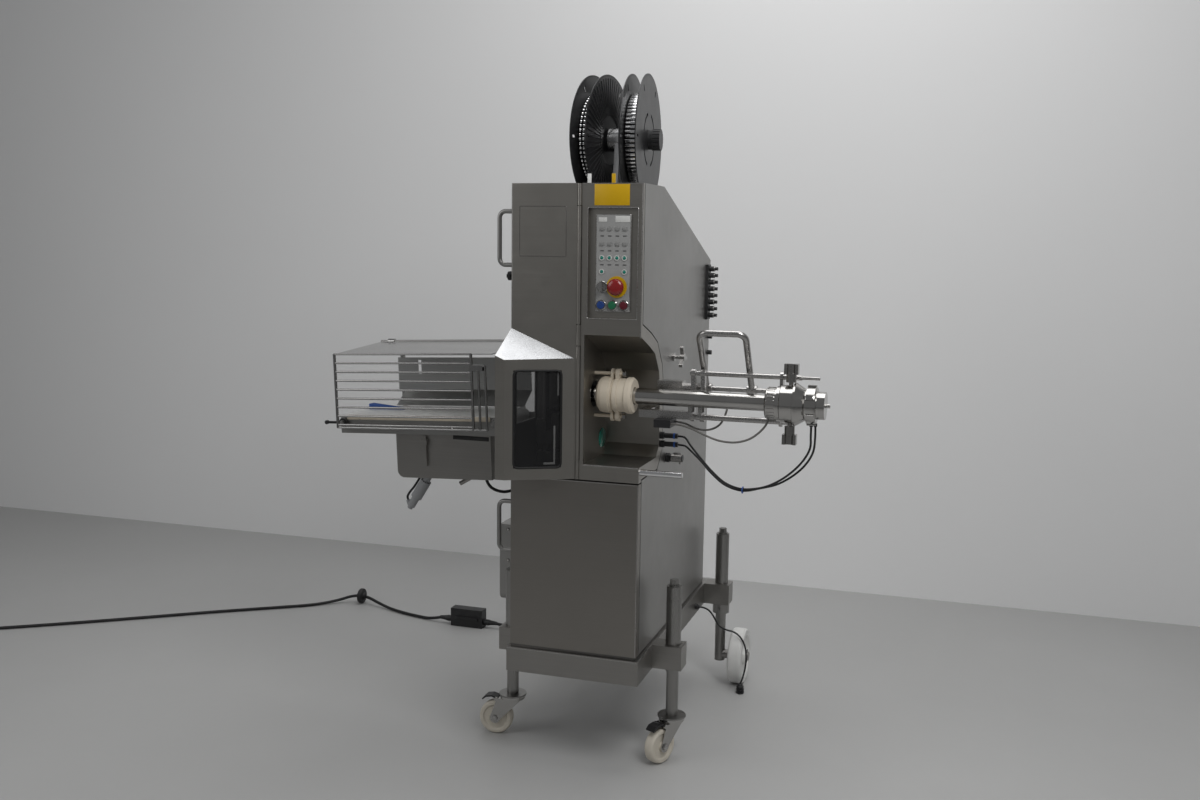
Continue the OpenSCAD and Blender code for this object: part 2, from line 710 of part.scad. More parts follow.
// Controls
key_cols = 4;
key_gap_z = 29;
module key_row(z, d, skip_middle) for (k = [0:key_cols - 1]) {
    x = plate_x + plate_w * (0.17 + 0.22 * k);
    if (!skip_middle || k == 0 || k == key_cols - 1) bar_y(plate_front - 1.2, plate_front + 1, x, z, d);
}
module bezel(x, z, outer, inner, rise) difference() {
    bar_y(plate_front - rise, plate_front + 1, x, z, outer);
    bar_y(plate_front - rise - 1, plate_front + 2, x, z, inner);
}
module control_plate() color(white) placed() difference() {
    union() {
        box_at([plate_x, plate_front, plate_z], [plate_x + plate_w, ctrl_deep, plate_z + plate_h]);
        for (k = [0:2]) bezel(plate_x + button_step * (k + 0.5), button_z, button_d + 6, button_d + 1, 3);
        bezel(estop_x, estop_z, estop_d + 12, estop_stem_d + 8, 3);
        bezel(selector_x, estop_z, 30, 25, 4);
        key_row(plate_z + plate_h - 39, 13, false);
        key_row(plate_z + plate_h - 39 - key_gap_z * 1.4, 13, false);
        key_row(plate_z + plate_h - 39 - key_gap_z * 2.7, 14, false);
        key_row(plate_z + plate_h - 39 - key_gap_z * 4, 14, true);
    }
    for (h = stem_holes()) bar_y(plate_front - 1, ctrl_deep + 1, h[0], h[1], h[2] + 2 * run_gap);
}
module estop_button() color("#c3262e") placed() translate([estop_x, stem_back, estop_z]) rotate([90, 0, 0]) {
    cylinder(d = estop_stem_d, h = stem_back - plate_front + 9);
    translate([0, 0, stem_back - plate_front + 8]) rotate_extrude() polygon([
        [0, 0], [estop_d / 2 - 3, 0], [estop_d / 2, 3], [estop_d / 2, 8], [estop_d / 2 - 5, 14],
        [estop_d / 2 - 12, 17], [0, 18]
    ]);
}
module selector_knob() color(black) placed() translate([selector_x, stem_back, estop_z]) rotate([90, 0, 0]) {
    cylinder(d = stem_d, h = stem_back - plate_front + 1);
    translate([0, 0, stem_back - plate_front + 0.5]) cylinder(d = 24, h = 8);
    translate([-4, -12, stem_back - plate_front + 8]) cube([8, 24, 12]);
}
module push_button(k) translate([plate_x + button_step * (k + 0.5), stem_back, button_z]) rotate([90, 0, 0]) {
    cylinder(d = stem_d, h = stem_back - plate_front + 5);
    translate([0, 0, stem_back - plate_front + 4]) rotate_extrude() polygon([
        [0, 0], [button_d / 2, 0], [button_d / 2, 4], [button_d / 2 - 1.5, 5.5], [0, 6]
    ]);
}
module blue_button() color("#2f63b5") placed() push_button(0);
module green_button() color("#2d8a4a") placed() push_button(1);
module red_button() color("#7d2233") placed() push_button(2);

// Door with its slanted window box
box_left_x = 15;
box_over = 12;
box_run = box_right - box_left_x;
box_angle = atan2(box_out, box_run);
box_face = norm([box_run, box_out]);
box_fall = box_rise / box_right;
box_pitch = (box_rise - box_fall * box_left_x + 4) / box_out;
function box_plan(g) = [
    [box_right + (cos(box_angle) - g) / sin(box_angle), 1],
    [box_left_x - g * (1 - cos(box_angle)) / sin(box_angle), g - box_out],
    [g - box_over, g - box_out],
    [g, 1]
];
module below_box_top(g) {
    n = unit([box_fall, -box_pitch, 1]);
    translate([0, 0, box_top + box_rise - g * norm([box_fall, -box_pitch, 1])])
        rotate([asin(-n[1]), atan2(n[0], n[2]), 0])
        translate([-600, -600, -1200]) cube([1200, 1200, 1200]);
}
module window_box(g, bottom) intersection() {
    translate([0, 0, bottom]) linear_extrude(cab_top - bottom) polygon(box_plan(g));
    below_box_top(g);
}
module on_window() translate([box_left_x, -box_out, (upper_bot + box_top) / 2]) rotate([0, 0, box_angle]) children();
window_x = (box_face - window_w) / 2 - 4;
pane_lap = 12;
door_depth = panel_depth - 2;
module door() color(steel) placed() {
    difference() {
        union() {
            tray([0, 0, upper_bot], [door_edge, door_depth, cab_top]);
            window_box(0, upper_bot);
        }
        window_box(sheet, upper_bot + sheet);
        intersection() {
            box_at([sheet, -1, upper_bot + sheet], [door_edge - sheet - 8, door_depth + 1, box_top - 14]);
            translate([0, 2 * sheet, 0]) window_box(0, upper_bot + sheet);
        }
        on_window() translate([window_x, -5, -window_h / 2]) cube([window_w, 10 + sheet, window_h]);
        bar_z(upper_bot - 1, cab_top + 1, hinge_x, 0, knuckle_d + 1);
    }
    difference() {
        for (i = [1, 3]) knuckle(i, door_edge - 1);
        bar_z(upper_bot - 1, cab_top + 1, hinge_x, 0, hinge_pin_d + 2 * run_gap);
    }
}
module door_window() color([0.1, 0.11, 0.12, 0.5]) placed() on_window()
    translate([window_x - pane_lap, sheet, -window_h / 2 - pane_lap])
    cube([window_w + 2 * pane_lap, 4, window_h + 2 * pane_lap]);
latch_z = cab_top - 257;
latch_y = panel_depth + 16;
latch_d = 9;
module door_latch() color(black) placed() {
    bar_x(-8, sheet + 12, latch_y, latch_z, latch_d);
    bar_x(-26, -slip, latch_y, latch_z, 26);
    box_at([-26, latch_y - 17, latch_z - 5], [-16, latch_y + 17, latch_z + 5]);
}

// Left and right side equipment
module electrical_box() color(steel) placed() along_x(-138, 0) {
    low = cab_bot + 44;
    high = cab_bot + 288;
    difference() {
        translate([250, low]) square([300, high - low]);
        translate([249, low - 1]) square([26, 26]);
    }
    translate([275, low + 25]) circle(r = 25);
}
module air_fitting(y, z) {
    bar_x(cab_w + 7, cab_w + 24, y, z, 17);
    bar_x(cab_w + 23, cab_w + 36, y, z, 11);
}
fit_y = cab_d - 46;
fit_z = cab_top - 396;
fit_count = 8;
fit_step = 22;
module cable_socket(y, z, d) {
    bar_x(cab_w, cab_w + 12, y, z, d + 6);
    bar_x(cab_w + 10, cab_w + 52, y, z, d);
}
module side_fittings() color(black) placed() {
    box_at([cab_w, fit_y - 20, fit_z - 14], [cab_w + 8, fit_y + 20, fit_z + fit_step * (fit_count - 1) + 14]);
    for (k = [0:fit_count - 1]) air_fitting(fit_y, fit_z + fit_step * k);
    for (z = [fit_z - 74, fit_z - 128]) bar_x(cab_w, cab_w + 14, cab_d - 14, z, 15);
    for (route = [cable_front_route, cable_rear_route]) cable_socket(route[14][1], route[14][2], 15);
    cable_socket(296, 884, 22);
    box_at([cab_w + 16, hose_front_route[0][1] - 9, lower_rod_z - 30],
        [cab_w + 64, hose_rear_route[0][1] + 9, lower_rod_z - 8]);
}
module star_knob() color(bright) placed() {
    bar_x(shell_right - 14, cab_w + 24, star_y, star_z, stem_d);
    bar_x(cab_w + slip, cab_w + 5, star_y, star_z, 26);
    bar_x(cab_w + 22, cab_w + 36, star_y, star_z, 24);
    for (k = [0:2]) translate([cab_w + 23, star_y, star_z]) rotate([120 * k + 20, 0, 0]) {
        translate([0, -5, 0]) cube([11, 10, 30]);
        translate([0, 0, 30]) rotate([0, 90, 0]) cylinder(d = 13, h = 11);
    }
}

// Casing brake and horn
brake_bore = horn_d + 4;
ear_h = 150;
ear_x0 = brake_x + 36;
module brake_plate(x, t) on_horn(x) {
    cylinder(d = brake_d - 4, h = t);
    for (a = [0, 180]) rotate([0, 0, a]) {
        translate([0, -14, 0]) cube([ear_h / 2 - 14, 28, t]);
        translate([ear_h / 2 - 14, 0, 0]) cylinder(d = 28, h = t);
    }
}
module casing_brake() color(cream) placed() {
    difference() {
        union() {
            on_horn(brake_x) rotate_extrude() polygon([
                [0, 0], [brake_d / 2 - 12, 0], [brake_d / 2 - 3, 7], [brake_d / 2, 16], [brake_d / 2, 37], [0, 37]
            ]);
            on_horn(brake_x + 36) cylinder(d = brake_d - 14, h = brake_len - 38);
            brake_plate(ear_x0, 8);
            brake_plate(ear_x0 + 14, 12);
            on_horn(ear_x0 + 25) cylinder(d = brake_d - 8, h = 22);
            on_horn(brake_x + brake_len - 20) rotate_extrude() polygon([
                [0, 0], [brake_d / 2 - 1, 0], [brake_d / 2, 2], [brake_d / 2, 14], [brake_d / 2 - 5, 20], [0, 20]
            ]);
        }
        on_horn(brake_x - 1) cylinder(d = brake_bore, h = brake_len + 2);
    }
    for (s = [-1, 1]) bar_x(recess_x, ear_x0 + 34, horn_y, horn_z + s * (ear_h / 2 - 14), 10);
}
module horn_tube() color(bright) placed() on_horn(tip_x) difference() {
    cylinder(d = horn_d, h = horn_len);
    translate([0, 0, -1]) cylinder(d = horn_d - 2 * horn_wall, h = horn_len + 2);
}
module flange_arm(lo, hi, y, z, d) {
    box_at([flange_x + 0.6, lo[0], lo[1]], [body_x - 0.6, hi[0], hi[1]]);
    bar_x(flange_x + 0.6, body_x - 0.6, y, z, d);
}
module horn_coupling() color(bright) placed() difference() {
    union() {
        on_horn(horn_end) rotate([0, 0, -40]) rotate_extrude() polygon([
            [0, 0], [union_d / 2 - 3, 0], [union_d / 2, 3], [union_d / 2, union_len - 4], [union_d / 2 + 5, union_len - 4],
            [union_d / 2 + 5, union_len + flange_t - 4], [0, union_len + flange_t - 4]
        ]);
        flange_arm([rod_y - 14, horn_z], [rod_y + 14, upper_rod_z], rod_y, upper_rod_z, upper_rod_d + 16);
        flange_arm([rod_y - 13, lower_rod_z], [rod_y + 13, horn_z], rod_y, lower_rod_z, lower_rod_d + 12);
        flange_arm([horn_y, pull_z - 12], [pull_y, pull_z + 12], pull_y, pull_z, pull_rod_d + 12);
        on_horn(body_x - 1) rotate([0, 0, -40]) rotate_extrude() polygon([
            [0, 0], [coupling_d / 2 - 2, 0], [coupling_d / 2, 2], [coupling_d / 2, body_len - 1],
            [coupling_d / 2 + 7, body_len + 1], [coupling_d / 2 + 7, body_len + 6], [coupling_d / 2 - 9, body_len + cone_len],
            [coupling_d / 2 - 9, body_len + cone_len + 3], [coupling_d / 2 - 1, body_len + cone_len + 4],
            [coupling_d / 2 - 1, body_len + cone_len + nut_len - 3],
            [coupling_d / 2 - 4, body_len + cone_len + nut_len], [0, body_len + cone_len + nut_len]
        ]);
        on_horn(spigot_x - 2) rotate([0, 0, -40]) cylinder(d = spigot_d, h = spigot_len + 2);
        for (at = [cable_front_route[0], cable_rear_route[0]]) {
            bar_z(sensor_z, horn_z - horn_d / 2 - 12, at[0], at[1], cable_d);
        }
        on_horn(spigot_x + spigot_len - 1) cylinder(d = 11, h = pin_len + 1);
    }
    on_horn(horn_end - 1) rotate([0, 0, -40])
        cylinder(d = horn_d - 2 * horn_wall, h = pin_tip - horn_end - pin_len - 5);
    bar_x(flange_x - 1, flange_x + flange_t + 1, rod_y, upper_rod_z, upper_rod_d + 2 * run_gap);
    bar_x(flange_x - 1, flange_x + flange_t + 1, rod_y, lower_rod_z, lower_rod_d + 2 * run_gap);
    bar_z(horn_z - coupling_d, horn_z - horn_d / 2 - 6, knob_x, horn_y, stem_d + 2 * run_gap);
    bar_z(horn_z + horn_d / 2 + 6, horn_z + coupling_d, knob_x, horn_y, stem_d + 2 * run_gap);
}
module wing_knob() {
    seat = coupling_d / 2 + 0.5;
    bar_z(horn_d / 2 + 7, seat + 9, 0, 0, stem_d);
    bar_z(seat + 8, seat + 32, 0, 0, 28);
    difference() {
        translate([0, 0, seat + 44]) cube([38, 24, 28], center = true);
        for (a = [0, 180]) rotate([0, 0, a]) translate([0, 17, seat + 30]) cylinder(d = 24, h = 30);
    }
}
module top_wing_knob() color(black) placed() translate([knob_x, horn_y, horn_z]) wing_knob();
module bottom_wing_knob() color(black) placed() translate([knob_x, horn_y, horn_z]) rotate([180, 0, 0]) wing_knob();

handle_x0 = guide_x + guide_t + 18;
handle_x1 = handle_x0 + 130;
handle_lean = 36;
handle_len = 206;
module pull_handle() color(bright) placed() {
    bend = pull_tube_d * 1.3;
    bar_x(pull_rod_x, flange_x + 0.6, pull_y, pull_z, pull_rod_d);
    for (x = [handle_x0, handle_x1]) bar_x(x - 14, x + 14, pull_y, pull_z, pull_rod_d + 14);
    translate([0, pull_y, pull_z]) rotate([handle_lean, 0, 0]) {
        for (x = [handle_x0, handle_x1]) bar_z(pull_rod_d / 2, handle_len - bend, x, 0, pull_tube_d);
        bar_x(handle_x0 + bend, handle_x1 - bend, 0, handle_len, pull_tube_d);
        for (end = [0, 1]) translate([end == 0 ? handle_x0 + bend : handle_x1 - bend, 0, handle_len - bend])
            rotate([90, 0, 0]) rotate([0, 0, end == 0 ? 90 : 0])
            rotate_extrude(angle = 90) translate([bend, 0]) circle(d = pull_tube_d);
    }
}
arm_half = 20;
foot_x = cab_w - 38;
pad_h = horn_d / 2 + 16;
module guide_plate(x) {
    box_at([x, rod_y - 10, lower_rod_z], [x + guide_t, rod_y + 10, upper_rod_z]);
    bar_x(x, x + guide_t, rod_y, upper_rod_z, upper_rod_d + 10);
    bar_x(x, x + guide_t, rod_y, lower_rod_z, lower_rod_d + 10);
    box_at([x, horn_y - 8, horn_z - pad_h - 6], [x + guide_t, rod_y, horn_z - pad_h]);
    bar_z(horn_z - pad_h - 1, horn_z - horn_d / 2 - slip, x + guide_t / 2, horn_y, 11);
}
module horn_guide() color(bright) placed() {
    difference() {
        union() {
            box_at([cab_w, pull_y - arm_half, pull_z - arm_half + 2], [cab_w + 74, pull_y + arm_half, pull_z + arm_half - 2]);
            bar_x(cab_w + 70, arm_end + 1, pull_y, pull_z, 25);
            guide_plate(guide_x);
            guide_plate(guide_x + guide_step);
            box_at([guide_x, rod_y, pull_z - 13], [guide_x + guide_t, pull_y, pull_z + 13]);
            bar_x(guide_x, guide_x + guide_t, pull_y, pull_z, 27);
            box_at([foot_x, rod_y - 12, lower_rod_z - 8], [guide_x + 1, rod_y + 12, lower_rod_z + 14]);
            box_at([foot_x, rod_y, lower_rod_z - 8], [foot_x + 30, recess_deep, lower_rod_z + 14]);
        }
        bar_x(cab_w + 6, guide_x + guide_step + guide_t + 1, pull_y, pull_z, pull_rod_d + 2 * run_gap);
    }
    bar_x(guide_x - 4, upper_rod_end, rod_y, upper_rod_z, upper_rod_d);
    bar_x(upper_rod_end - 1, upper_rod_end + 48, rod_y, upper_rod_z, upper_rod_d - 5);
    bar_x(guide_x - 1, lower_rod_end, rod_y, lower_rod_z, lower_rod_d);
}

// Clip spools
module on_spool(side) translate([post_x, spool_y, spool_z]) rotate([0, 0, side * spool_toe])
    rotate([0, 90, 0]) translate([0, 0, side * spool_out]) children();
post_base = 70;
module spool_post() color(bright) placed() {
    foot_z = cab_top - (spool_y - top_flat) * tan(slope);
    along_x(post_x - 8, post_x + 8) difference() {
        polygon([
            [spool_y - post_base, foot_z + post_base * tan(slope)], [spool_y + post_base, foot_z - post_base * tan(slope)],
            [spool_y + hub_d / 2 - 4, spool_z], [spool_y - hub_d / 2 + 4, spool_z]
        ]);
        translate([spool_y, (foot_z + spool_z) / 2 - 20]) circle(d = 44);
    }
    bar_x(post_x - hub_half, post_x + hub_half, spool_y, spool_z, hub_d);
    for (side = [-1, 1]) on_spool(side) {
        translate([0, 0, side > 0 ? -spool_out : -spool_w / 2 - 16]) cylinder(d = spool_axle_d, h = spool_out + spool_w / 2 + 16);
    }
    on_spool(-1) translate([0, 0, -spool_w / 2 - 20]) cylinder(d = 58, h = 14);
}
module flange_2d() difference() {
    circle(d = spool_d, $fn = 96);
    for (a = [0:60:300]) rotate(a + 90) translate([spool_d / 2 - 28, 0]) {
        square([14, 8], center = true);
        for (s = [-7, 7]) translate([s, 0]) circle(d = 8);
    }
    for (a = [45:90:315]) rotate(a) intersection() {
        difference() {
            circle(d = spool_d * 0.42);
            circle(d = spool_d * 0.42 - 16);
        }
        polygon([[0, 0], [200, -110], [200, 110]]);
    }
}
module spool() difference() {
    union() {
        for (z = [-spool_w / 2, spool_w / 2 - flange_t_spool]) translate([0, 0, z]) linear_extrude(flange_t_spool) flange_2d();
        translate([0, 0, -spool_w / 2 + 1]) cylinder(d = core_d, h = spool_w - 2);
    }
    translate([0, 0, -spool_w]) cylinder(d = spool_axle_d + 2 * run_gap, h = 2 * spool_w);
}
clip_w = spool_w - 2 * flange_t_spool - 2 * slip;
module left_spool() color(black) placed() on_spool(-1) spool();
module right_spool() color(black) placed() on_spool(1) spool();
module left_clips() color(bright) placed() on_spool(-1) translate([0, 0, -clip_w / 2]) rotate_extrude($fn = 96) {
    step = clip_w / 4;
    translate([core_d / 2 + slip, 0]) square([(clip_coil_d - core_d) / 2 - 6 - slip, clip_w]);
    for (k = [0:3]) translate([clip_coil_d / 2 - 7, step * (k + 0.5)]) circle(d = step * 0.98, $fn = 24);
}
module right_clips() color(bright) placed() on_spool(1) translate([0, 0, -clip_w / 2]) difference() {
    linear_extrude(clip_w) difference() {
        union() {
            circle(d = clip_coil_d - 12, $fn = 96);
            for (k = [0:bar_clips - 1]) rotate(360 * k / bar_clips)
                translate([clip_coil_d / 2 - 10, 0]) square([20, clip_coil_d * 0.022], center = true);
        }
        circle(d = core_d + 2 * slip);
    }
}
module spool_knob() color(black) placed() on_spool(1) translate([0, 0, spool_w / 2 + slip]) difference() {
    union() {
        cylinder(d = 58, h = 12);
        translate([0, 0, 11]) cylinder(d = 64, h = 26);
    }
    for (k = [0:15]) rotate(22.5 * k) translate([33, 0, 14]) cylinder(d = 6, h = 30, $fn = 16);
    translate([0, 0, -1]) cylinder(d = spool_axle_d + 2 * run_gap, h = 18);
}

// Conveyor
module stadium(d) {
    for (x = [idler_x, drive_x]) translate([x, roller_z]) circle(d = d);
    translate([idler_x, roller_z - d / 2]) square([drive_x - idler_x, d]);
}
module conveyor_frame() color(steel) placed() on_conveyor() {
    for (s = [-1, 1]) difference() {
        union() {
            along_y(s > 0 ? rail_y : -rail_y - rail_t, s > 0 ? rail_y + rail_t : -rail_y)
                polygon([
                    [idler_x - 12, rail_bot], [s > 0 ? rail_end : -8, rail_bot], [s > 0 ? rail_end : -8, roller_z + 8],
                    [idler_x - 12, roller_z + 8]
                ]);
        }
        for (x = [idler_x, drive_x]) bar_y(-belt_w, belt_w, x, roller_z, journal_d + 2 * run_gap);
    }
    bed_x0 = idler_x + roller_r + 8;
    bed_x1 = drive_x - roller_r - 8;
    bed_half = roller_r - 2;
    box_at([bed_x0, -belt_w / 2, roller_z - bed_half], [bed_x1, belt_w / 2, roller_z + roller_r - slip]);
    for (x = [bed_x0 + 20, bed_x1 - 40]) bar_y(-rail_y - 1, rail_y + 1, x, roller_z, 18);
    box_at([-14, 2 - horn_y, rail_bot], [-4, rail_y + rail_t, rail_bot + 10]);
    bar_x(guard_left - 6, -26, guard_deep / 2, pivot_z, pivot_d);
    for (x = [guard_left + 60, -70]) {
        box_at([x, rail_y + rail_t - 1, rail_bot + 4], [x + 14, guard_deep / 2 + 3, rail_bot + 10]);
        box_at([x, guard_deep / 2 - 3, rail_bot + 4], [x + 14, guard_deep / 2 + 3, pivot_z]);
    }
}
module conveyor_belt() color(white) placed() on_conveyor() along_y(-belt_w / 2, belt_w / 2) difference() {
    stadium(roller_d + 2 * belt_t);
    stadium(roller_d + 0.2);
}
module roller(x, shaft) {
    bar_y(-belt_w / 2, belt_w / 2, x, roller_z, roller_d - 2 * slip);
    bar_y(-rail_y - rail_t - shaft, rail_y + rail_t, x, roller_z, journal_d);
}
module drive_roller() color(bright) placed() on_conveyor() roller(drive_x, 2);
module idler_roller() color(bright) placed() on_conveyor() roller(idler_x, lever_t + 4);
module drive_housing() color(steel) placed() on_conveyor() {
    top = rail_bot;
    x0 = housing_right - housing_len;
    corner = 22;
    along_y(-belt_w / 2, belt_w / 2) {
        translate([x0 + corner, top - housing_h]) square([housing_len - corner, housing_h]);
        translate([x0, top - housing_h + corner]) square([housing_len, housing_h - corner]);
        translate([x0 + corner, top - housing_h + corner]) circle(r = corner);
    }
    box_at([x0 + 88, -belt_w / 2 - 9, top - 92], [x0 + 100, -belt_w / 2 + 1, top - 4]);
    box_at([x0 + 84, -belt_w / 2 - 13, top - 30], [x0 + 104, -belt_w / 2 + 1, top - 14]);
    translate([housing_right - 82, 0, top - housing_h + 2]) rotate([0, -118, 0]) cylinder(d = 13, h = 78);
}
chute_tilt = 32;
module product_guides() color(steel) placed() on_conveyor() {
    back_y = guard_deep / 2 - 3;
    back_x0 = guard_left + 52;
    along_y(back_y - 2, back_y) difference() {
        translate([back_x0, 44]) square([-30 - back_x0, 104]);
        translate([back_x0 + 70, 96]) square([10, 44]);
    }
    translate([guard_left + 76, back_y - 2, 48]) rotate([chute_tilt - 0, 0, 0])
        translate([0, -78, -2]) cube([-30 - guard_left - 76, 80, 2]);
}
module guard_wire(z) bar_x(guard_left - 1.5, guard_right + 1.5, guard_y, z, wire_d);
module wire_guard() color(bright) placed() on_conveyor() {
    for (k = [0:wire_rows - 1]) guard_wire(guard_h - wire_pitch * k);
    low = guard_h - wire_pitch * (wire_rows - 1) - 8;
    for (x = [guard_left, guard_right]) bar_z(low - 1.2, guard_h + 1.2, x, guard_y, wire_d + 2.4);
    guard_wire(low);
    for (x = [guard_right + 21, guard_right + 42]) bar_z(low - 1.2, guard_h - 32, x, guard_y, wire_d + 0.8);
    bar_x(guard_right + 1, guard_right + 43, guard_y, guard_h - 34, wire_d);
    bar_x(guard_right + 1, guard_right + 43, guard_y, low, wire_d);
    box_at([guard_right - 5, guard_y - 6, guard_h - 47], [guard_right + 36, guard_y + 6, guard_h - 30.3]);
    eye = pivot_d + 8;
    lift = atan2(pivot_z - guard_h, guard_deep);
    translate([0, guard_y, guard_h]) rotate([lift, 0, 0])
        translate([guard_left + 0.7, 0, -1]) cube([-30 - guard_left, norm([guard_deep, pivot_z - guard_h]) - eye / 2 - 5, 2]);
    for (x = [guard_left + 20, -54]) difference() {
        union() {
            bar_x(x, x + 22, guard_deep / 2, pivot_z, eye);
            translate([0, guard_y, guard_h]) rotate([lift, 0, 0])
                translate([x, guard_deep - 30, -2]) cube([22, 24, 4]);
        }
        bar_x(x - 1, x + 23, guard_deep / 2, pivot_z, pivot_d + 2 * run_gap);
    }
}
module tension_lever() color(black) placed() on_conveyor() translate([lever_x, -rail_y - rail_t - slip, roller_z])
    rotate([90, 0, 0]) difference() {
    union() {
        cylinder(d = journal_d + 10, h = lever_t);
        translate([-lever_len, -3.5, 3]) cube([lever_len, 7, 6]);
        translate([-lever_len, 0, 2]) cylinder(r = lever_tip_r, h = 8);
    }
    translate([0, 0, -1]) cylinder(d = journal_d + 2 * run_gap, h = lever_t + 2);
}

// Closing drive and tools behind the door
column_bot = recess_floor + 2;
column_top = horn_z + 250;
tool_half = column_gap / 2 + column_d / 2 + 12;
drive_x1 = recess_x - sheet - 8;
module closing_drive() color(steel) placed() {
    y0 = tool_plate_y;
    difference() {
        box_at([sheet + 6, y0, cab_bot + 60], [drive_x1, y0 + 10, column_top + 60]);
        box_at([tool_x - 30, y0 - 1, horn_z - 40], [tool_x + 30, y0 + 11, horn_z + 40]);
    }
    for (s = [-1, 1]) bar_z(column_bot, column_top, tool_x + s * column_gap / 2, column_y, column_d);
    for (z = [column_bot - 18, column_top - 2]) {
        box_at([tool_x - tool_half, column_y - 18, z], [tool_x + tool_half, y0 + 1, z + 20]);
    }
    box_at([sheet + 6, y0, cab_bot + sheet], [drive_x1, y0 + 90, cab_bot + 62]);
    box_at([30, y0 + 9, 560], [drive_x1 - 10, y0 + 150, 800]);
    bar_y(y0 + 149, y0 + 360, tool_x, 690, 150);
    for (k = [0:6]) bar_y(y0 + 180 + 24 * k, y0 + 188 + 24 * k, tool_x, 690, 162);
}
module tool_block(z0, z1) difference() {
    box_at([tool_x - tool_half, column_y - 24, z0], [tool_x + tool_half, column_y + 24, z1]);
    for (s = [-1, 1]) bar_z(z0 - 1, z1 + 1, tool_x + s * column_gap / 2, column_y, column_d + 2 * run_gap);
}
module displacer(x, z0, z1) difference() {
    box_at([x, horn_y - 38, z0], [x + 4, horn_y + 38, z1]);
    translate([x - 1, horn_y, horn_z]) rotate([0, 90, 0]) cylinder(d = 52, h = 6);
}
module upper_tool() color(bright) placed() {
    z0 = horn_z + punch_gap + 30;
    tool_block(z0, z0 + 70);
    box_at([tool_x - 12, horn_y - 20, horn_z + punch_gap], [tool_x + 12, column_y - 23, z0 + 40]);
    for (x = [tool_x - 24, tool_x + 20]) displacer(x, horn_z + punch_gap - 8, z0 + 20);
    box_at([tool_x - 24, horn_y + 20, z0], [tool_x + 24, column_y - 23, z0 + 20]);
}
module lower_tool() color(bright) placed() {
    z1 = horn_z - punch_gap - 30;
    tool_block(z1 - 70, z1);
    box_at([tool_x - 12, horn_y - 20, z1 - 40], [tool_x + 12, column_y - 23, horn_z - punch_gap]);
    for (x = [tool_x - 24, tool_x + 20]) displacer(x, z1 - 20, horn_z - punch_gap + 8);
    box_at([tool_x - 24, horn_y + 20, z1 - 20], [tool_x + 24, column_y - 23, z1]);
}

// Cords and what is on them
module mains_cord() color(black) placed() {
    cord_tube(inlet_route, mains_d, [1, 1, -1]);
    cord_tube(mains_route, mains_d, [0, 0, 1]);
    translate(disc_at) rotate([0, 90, 0]) difference() {
        translate([0, 0, -16]) cylinder(d = 62, h = 32);
        translate([0, 0, -17]) cylinder(d = mains_d + 4, h = 34);
    }
}
module mains_coil() color(black) placed() translate(coil_at) rotate_extrude() difference() {
    translate([coil_turn_d / 2 - 20, 0]) square([40, coil_w]);
    for (z = [0, coil_w]) translate([coil_turn_d / 2, z]) square([0.1, 0.1]);
}
module mains_plug() color("#b3262b") placed() translate([coil_at[0] - 84, coil_at[1] - 57, 31]) rotate([90, 0, 0]) {
    cylinder(d = 28, h = 23);
    translate([0, 0, 22]) cylinder(d = 50, h = 31);
    translate([0, 0, 52]) cylinder(d = 62, h = 68);
}
module cord_connector() color("#3a3a3c") placed() {
    y = mains_route[0][1];
    z = mains_route[0][2];
    box_at([-690, y - 22, 0], [-556, y + 22, 72]);
    box_at([-672, y - 27, 30], [-574, y + 27, 42]);
    bar_x(-712, -688, y, z, 24);
    bar_x(-558, -536, y, z, 24);
}
module horn_leads() color(black) placed() {
    cord_tube(cable_front_route, cable_d);
    cord_tube(cable_rear_route, cable_d);
    cord_tube(hose_front_route, hose_d);
    cord_tube(hose_rear_route, hose_d);
}
module conveyor_leads() color(black) placed() {
    cord_tube(lead_route, lead_d);
    cord_tube(drain_route, drain_d);
}
module conveyor_plug() color("#77777a") placed() translate([-302, 100, 821.6]) rotate([0, -148, 0]) {
    cylinder(d = 22, h = 30);
    translate([0, 0, 29]) cylinder(d = 34, h = 62);
    translate([0, 0, 90]) cylinder(d = 24, h = 34);
    translate([0, 0, 123]) cylinder(d = 16, h = 10);
    translate([0, 0, 128]) rotate([0, 128, 0]) cylinder(d = 14, h = 22);
}
module floor_lead() color(black) placed() {
    cord_tube(floor_route, cable_d);
    translate([540, 750, 0]) cylinder(d = 26, h = 34);
    bar_x(cab_w + beam_proud, floor_route[0][0] + 1, floor_route[0][1], floor_route[0][2], 16);
}

base_frame();
leg_tubes();
inner_leg_left();
inner_leg_right();
caster_fork_left();
caster_fork_right();
caster_wheel_left();
caster_wheel_right();
brake_pedal_left();
brake_pedal_right();
rear_wheel_left();
rear_wheel_right();
cabinet_shell();
lower_front_panel();
front_frame();
side_cover();
control_plate();
estop_button();
selector_knob();
blue_button();
green_button();
red_button();
door();
door_window();
door_latch();
electrical_box();
side_fittings();
star_knob();
casing_brake();
horn_guide();
horn_tube();
horn_coupling();
pull_handle();
top_wing_knob();
bottom_wing_knob();
spool_post();
left_spool();
right_spool();
left_clips();
right_clips();
spool_knob();
conveyor_frame();
conveyor_belt();
drive_roller();
idler_roller();
drive_housing();
product_guides();
wire_guard();
tension_lever();
closing_drive();
upper_tool();
lower_tool();
mains_cord();
mains_coil();
mains_plug();
cord_connector();
horn_leads();
conveyor_leads();
conveyor_plug();
floor_lead();
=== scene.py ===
"""Looks of a floor-standing sausage clipper: finishes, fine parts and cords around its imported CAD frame.

Sizes in the classes are millimetres from the cabinet's front left corner on the floor, as in the part's
source; the helper mm() turns them into metres in the part's own frame.
"""

from __future__ import annotations

import json
import logging
import math
from dataclasses import dataclass, field
from enum import Enum
from functools import cache
from typing import Any, Sequence, Union

import bmesh
import bpy
from mathutils import Matrix, Vector

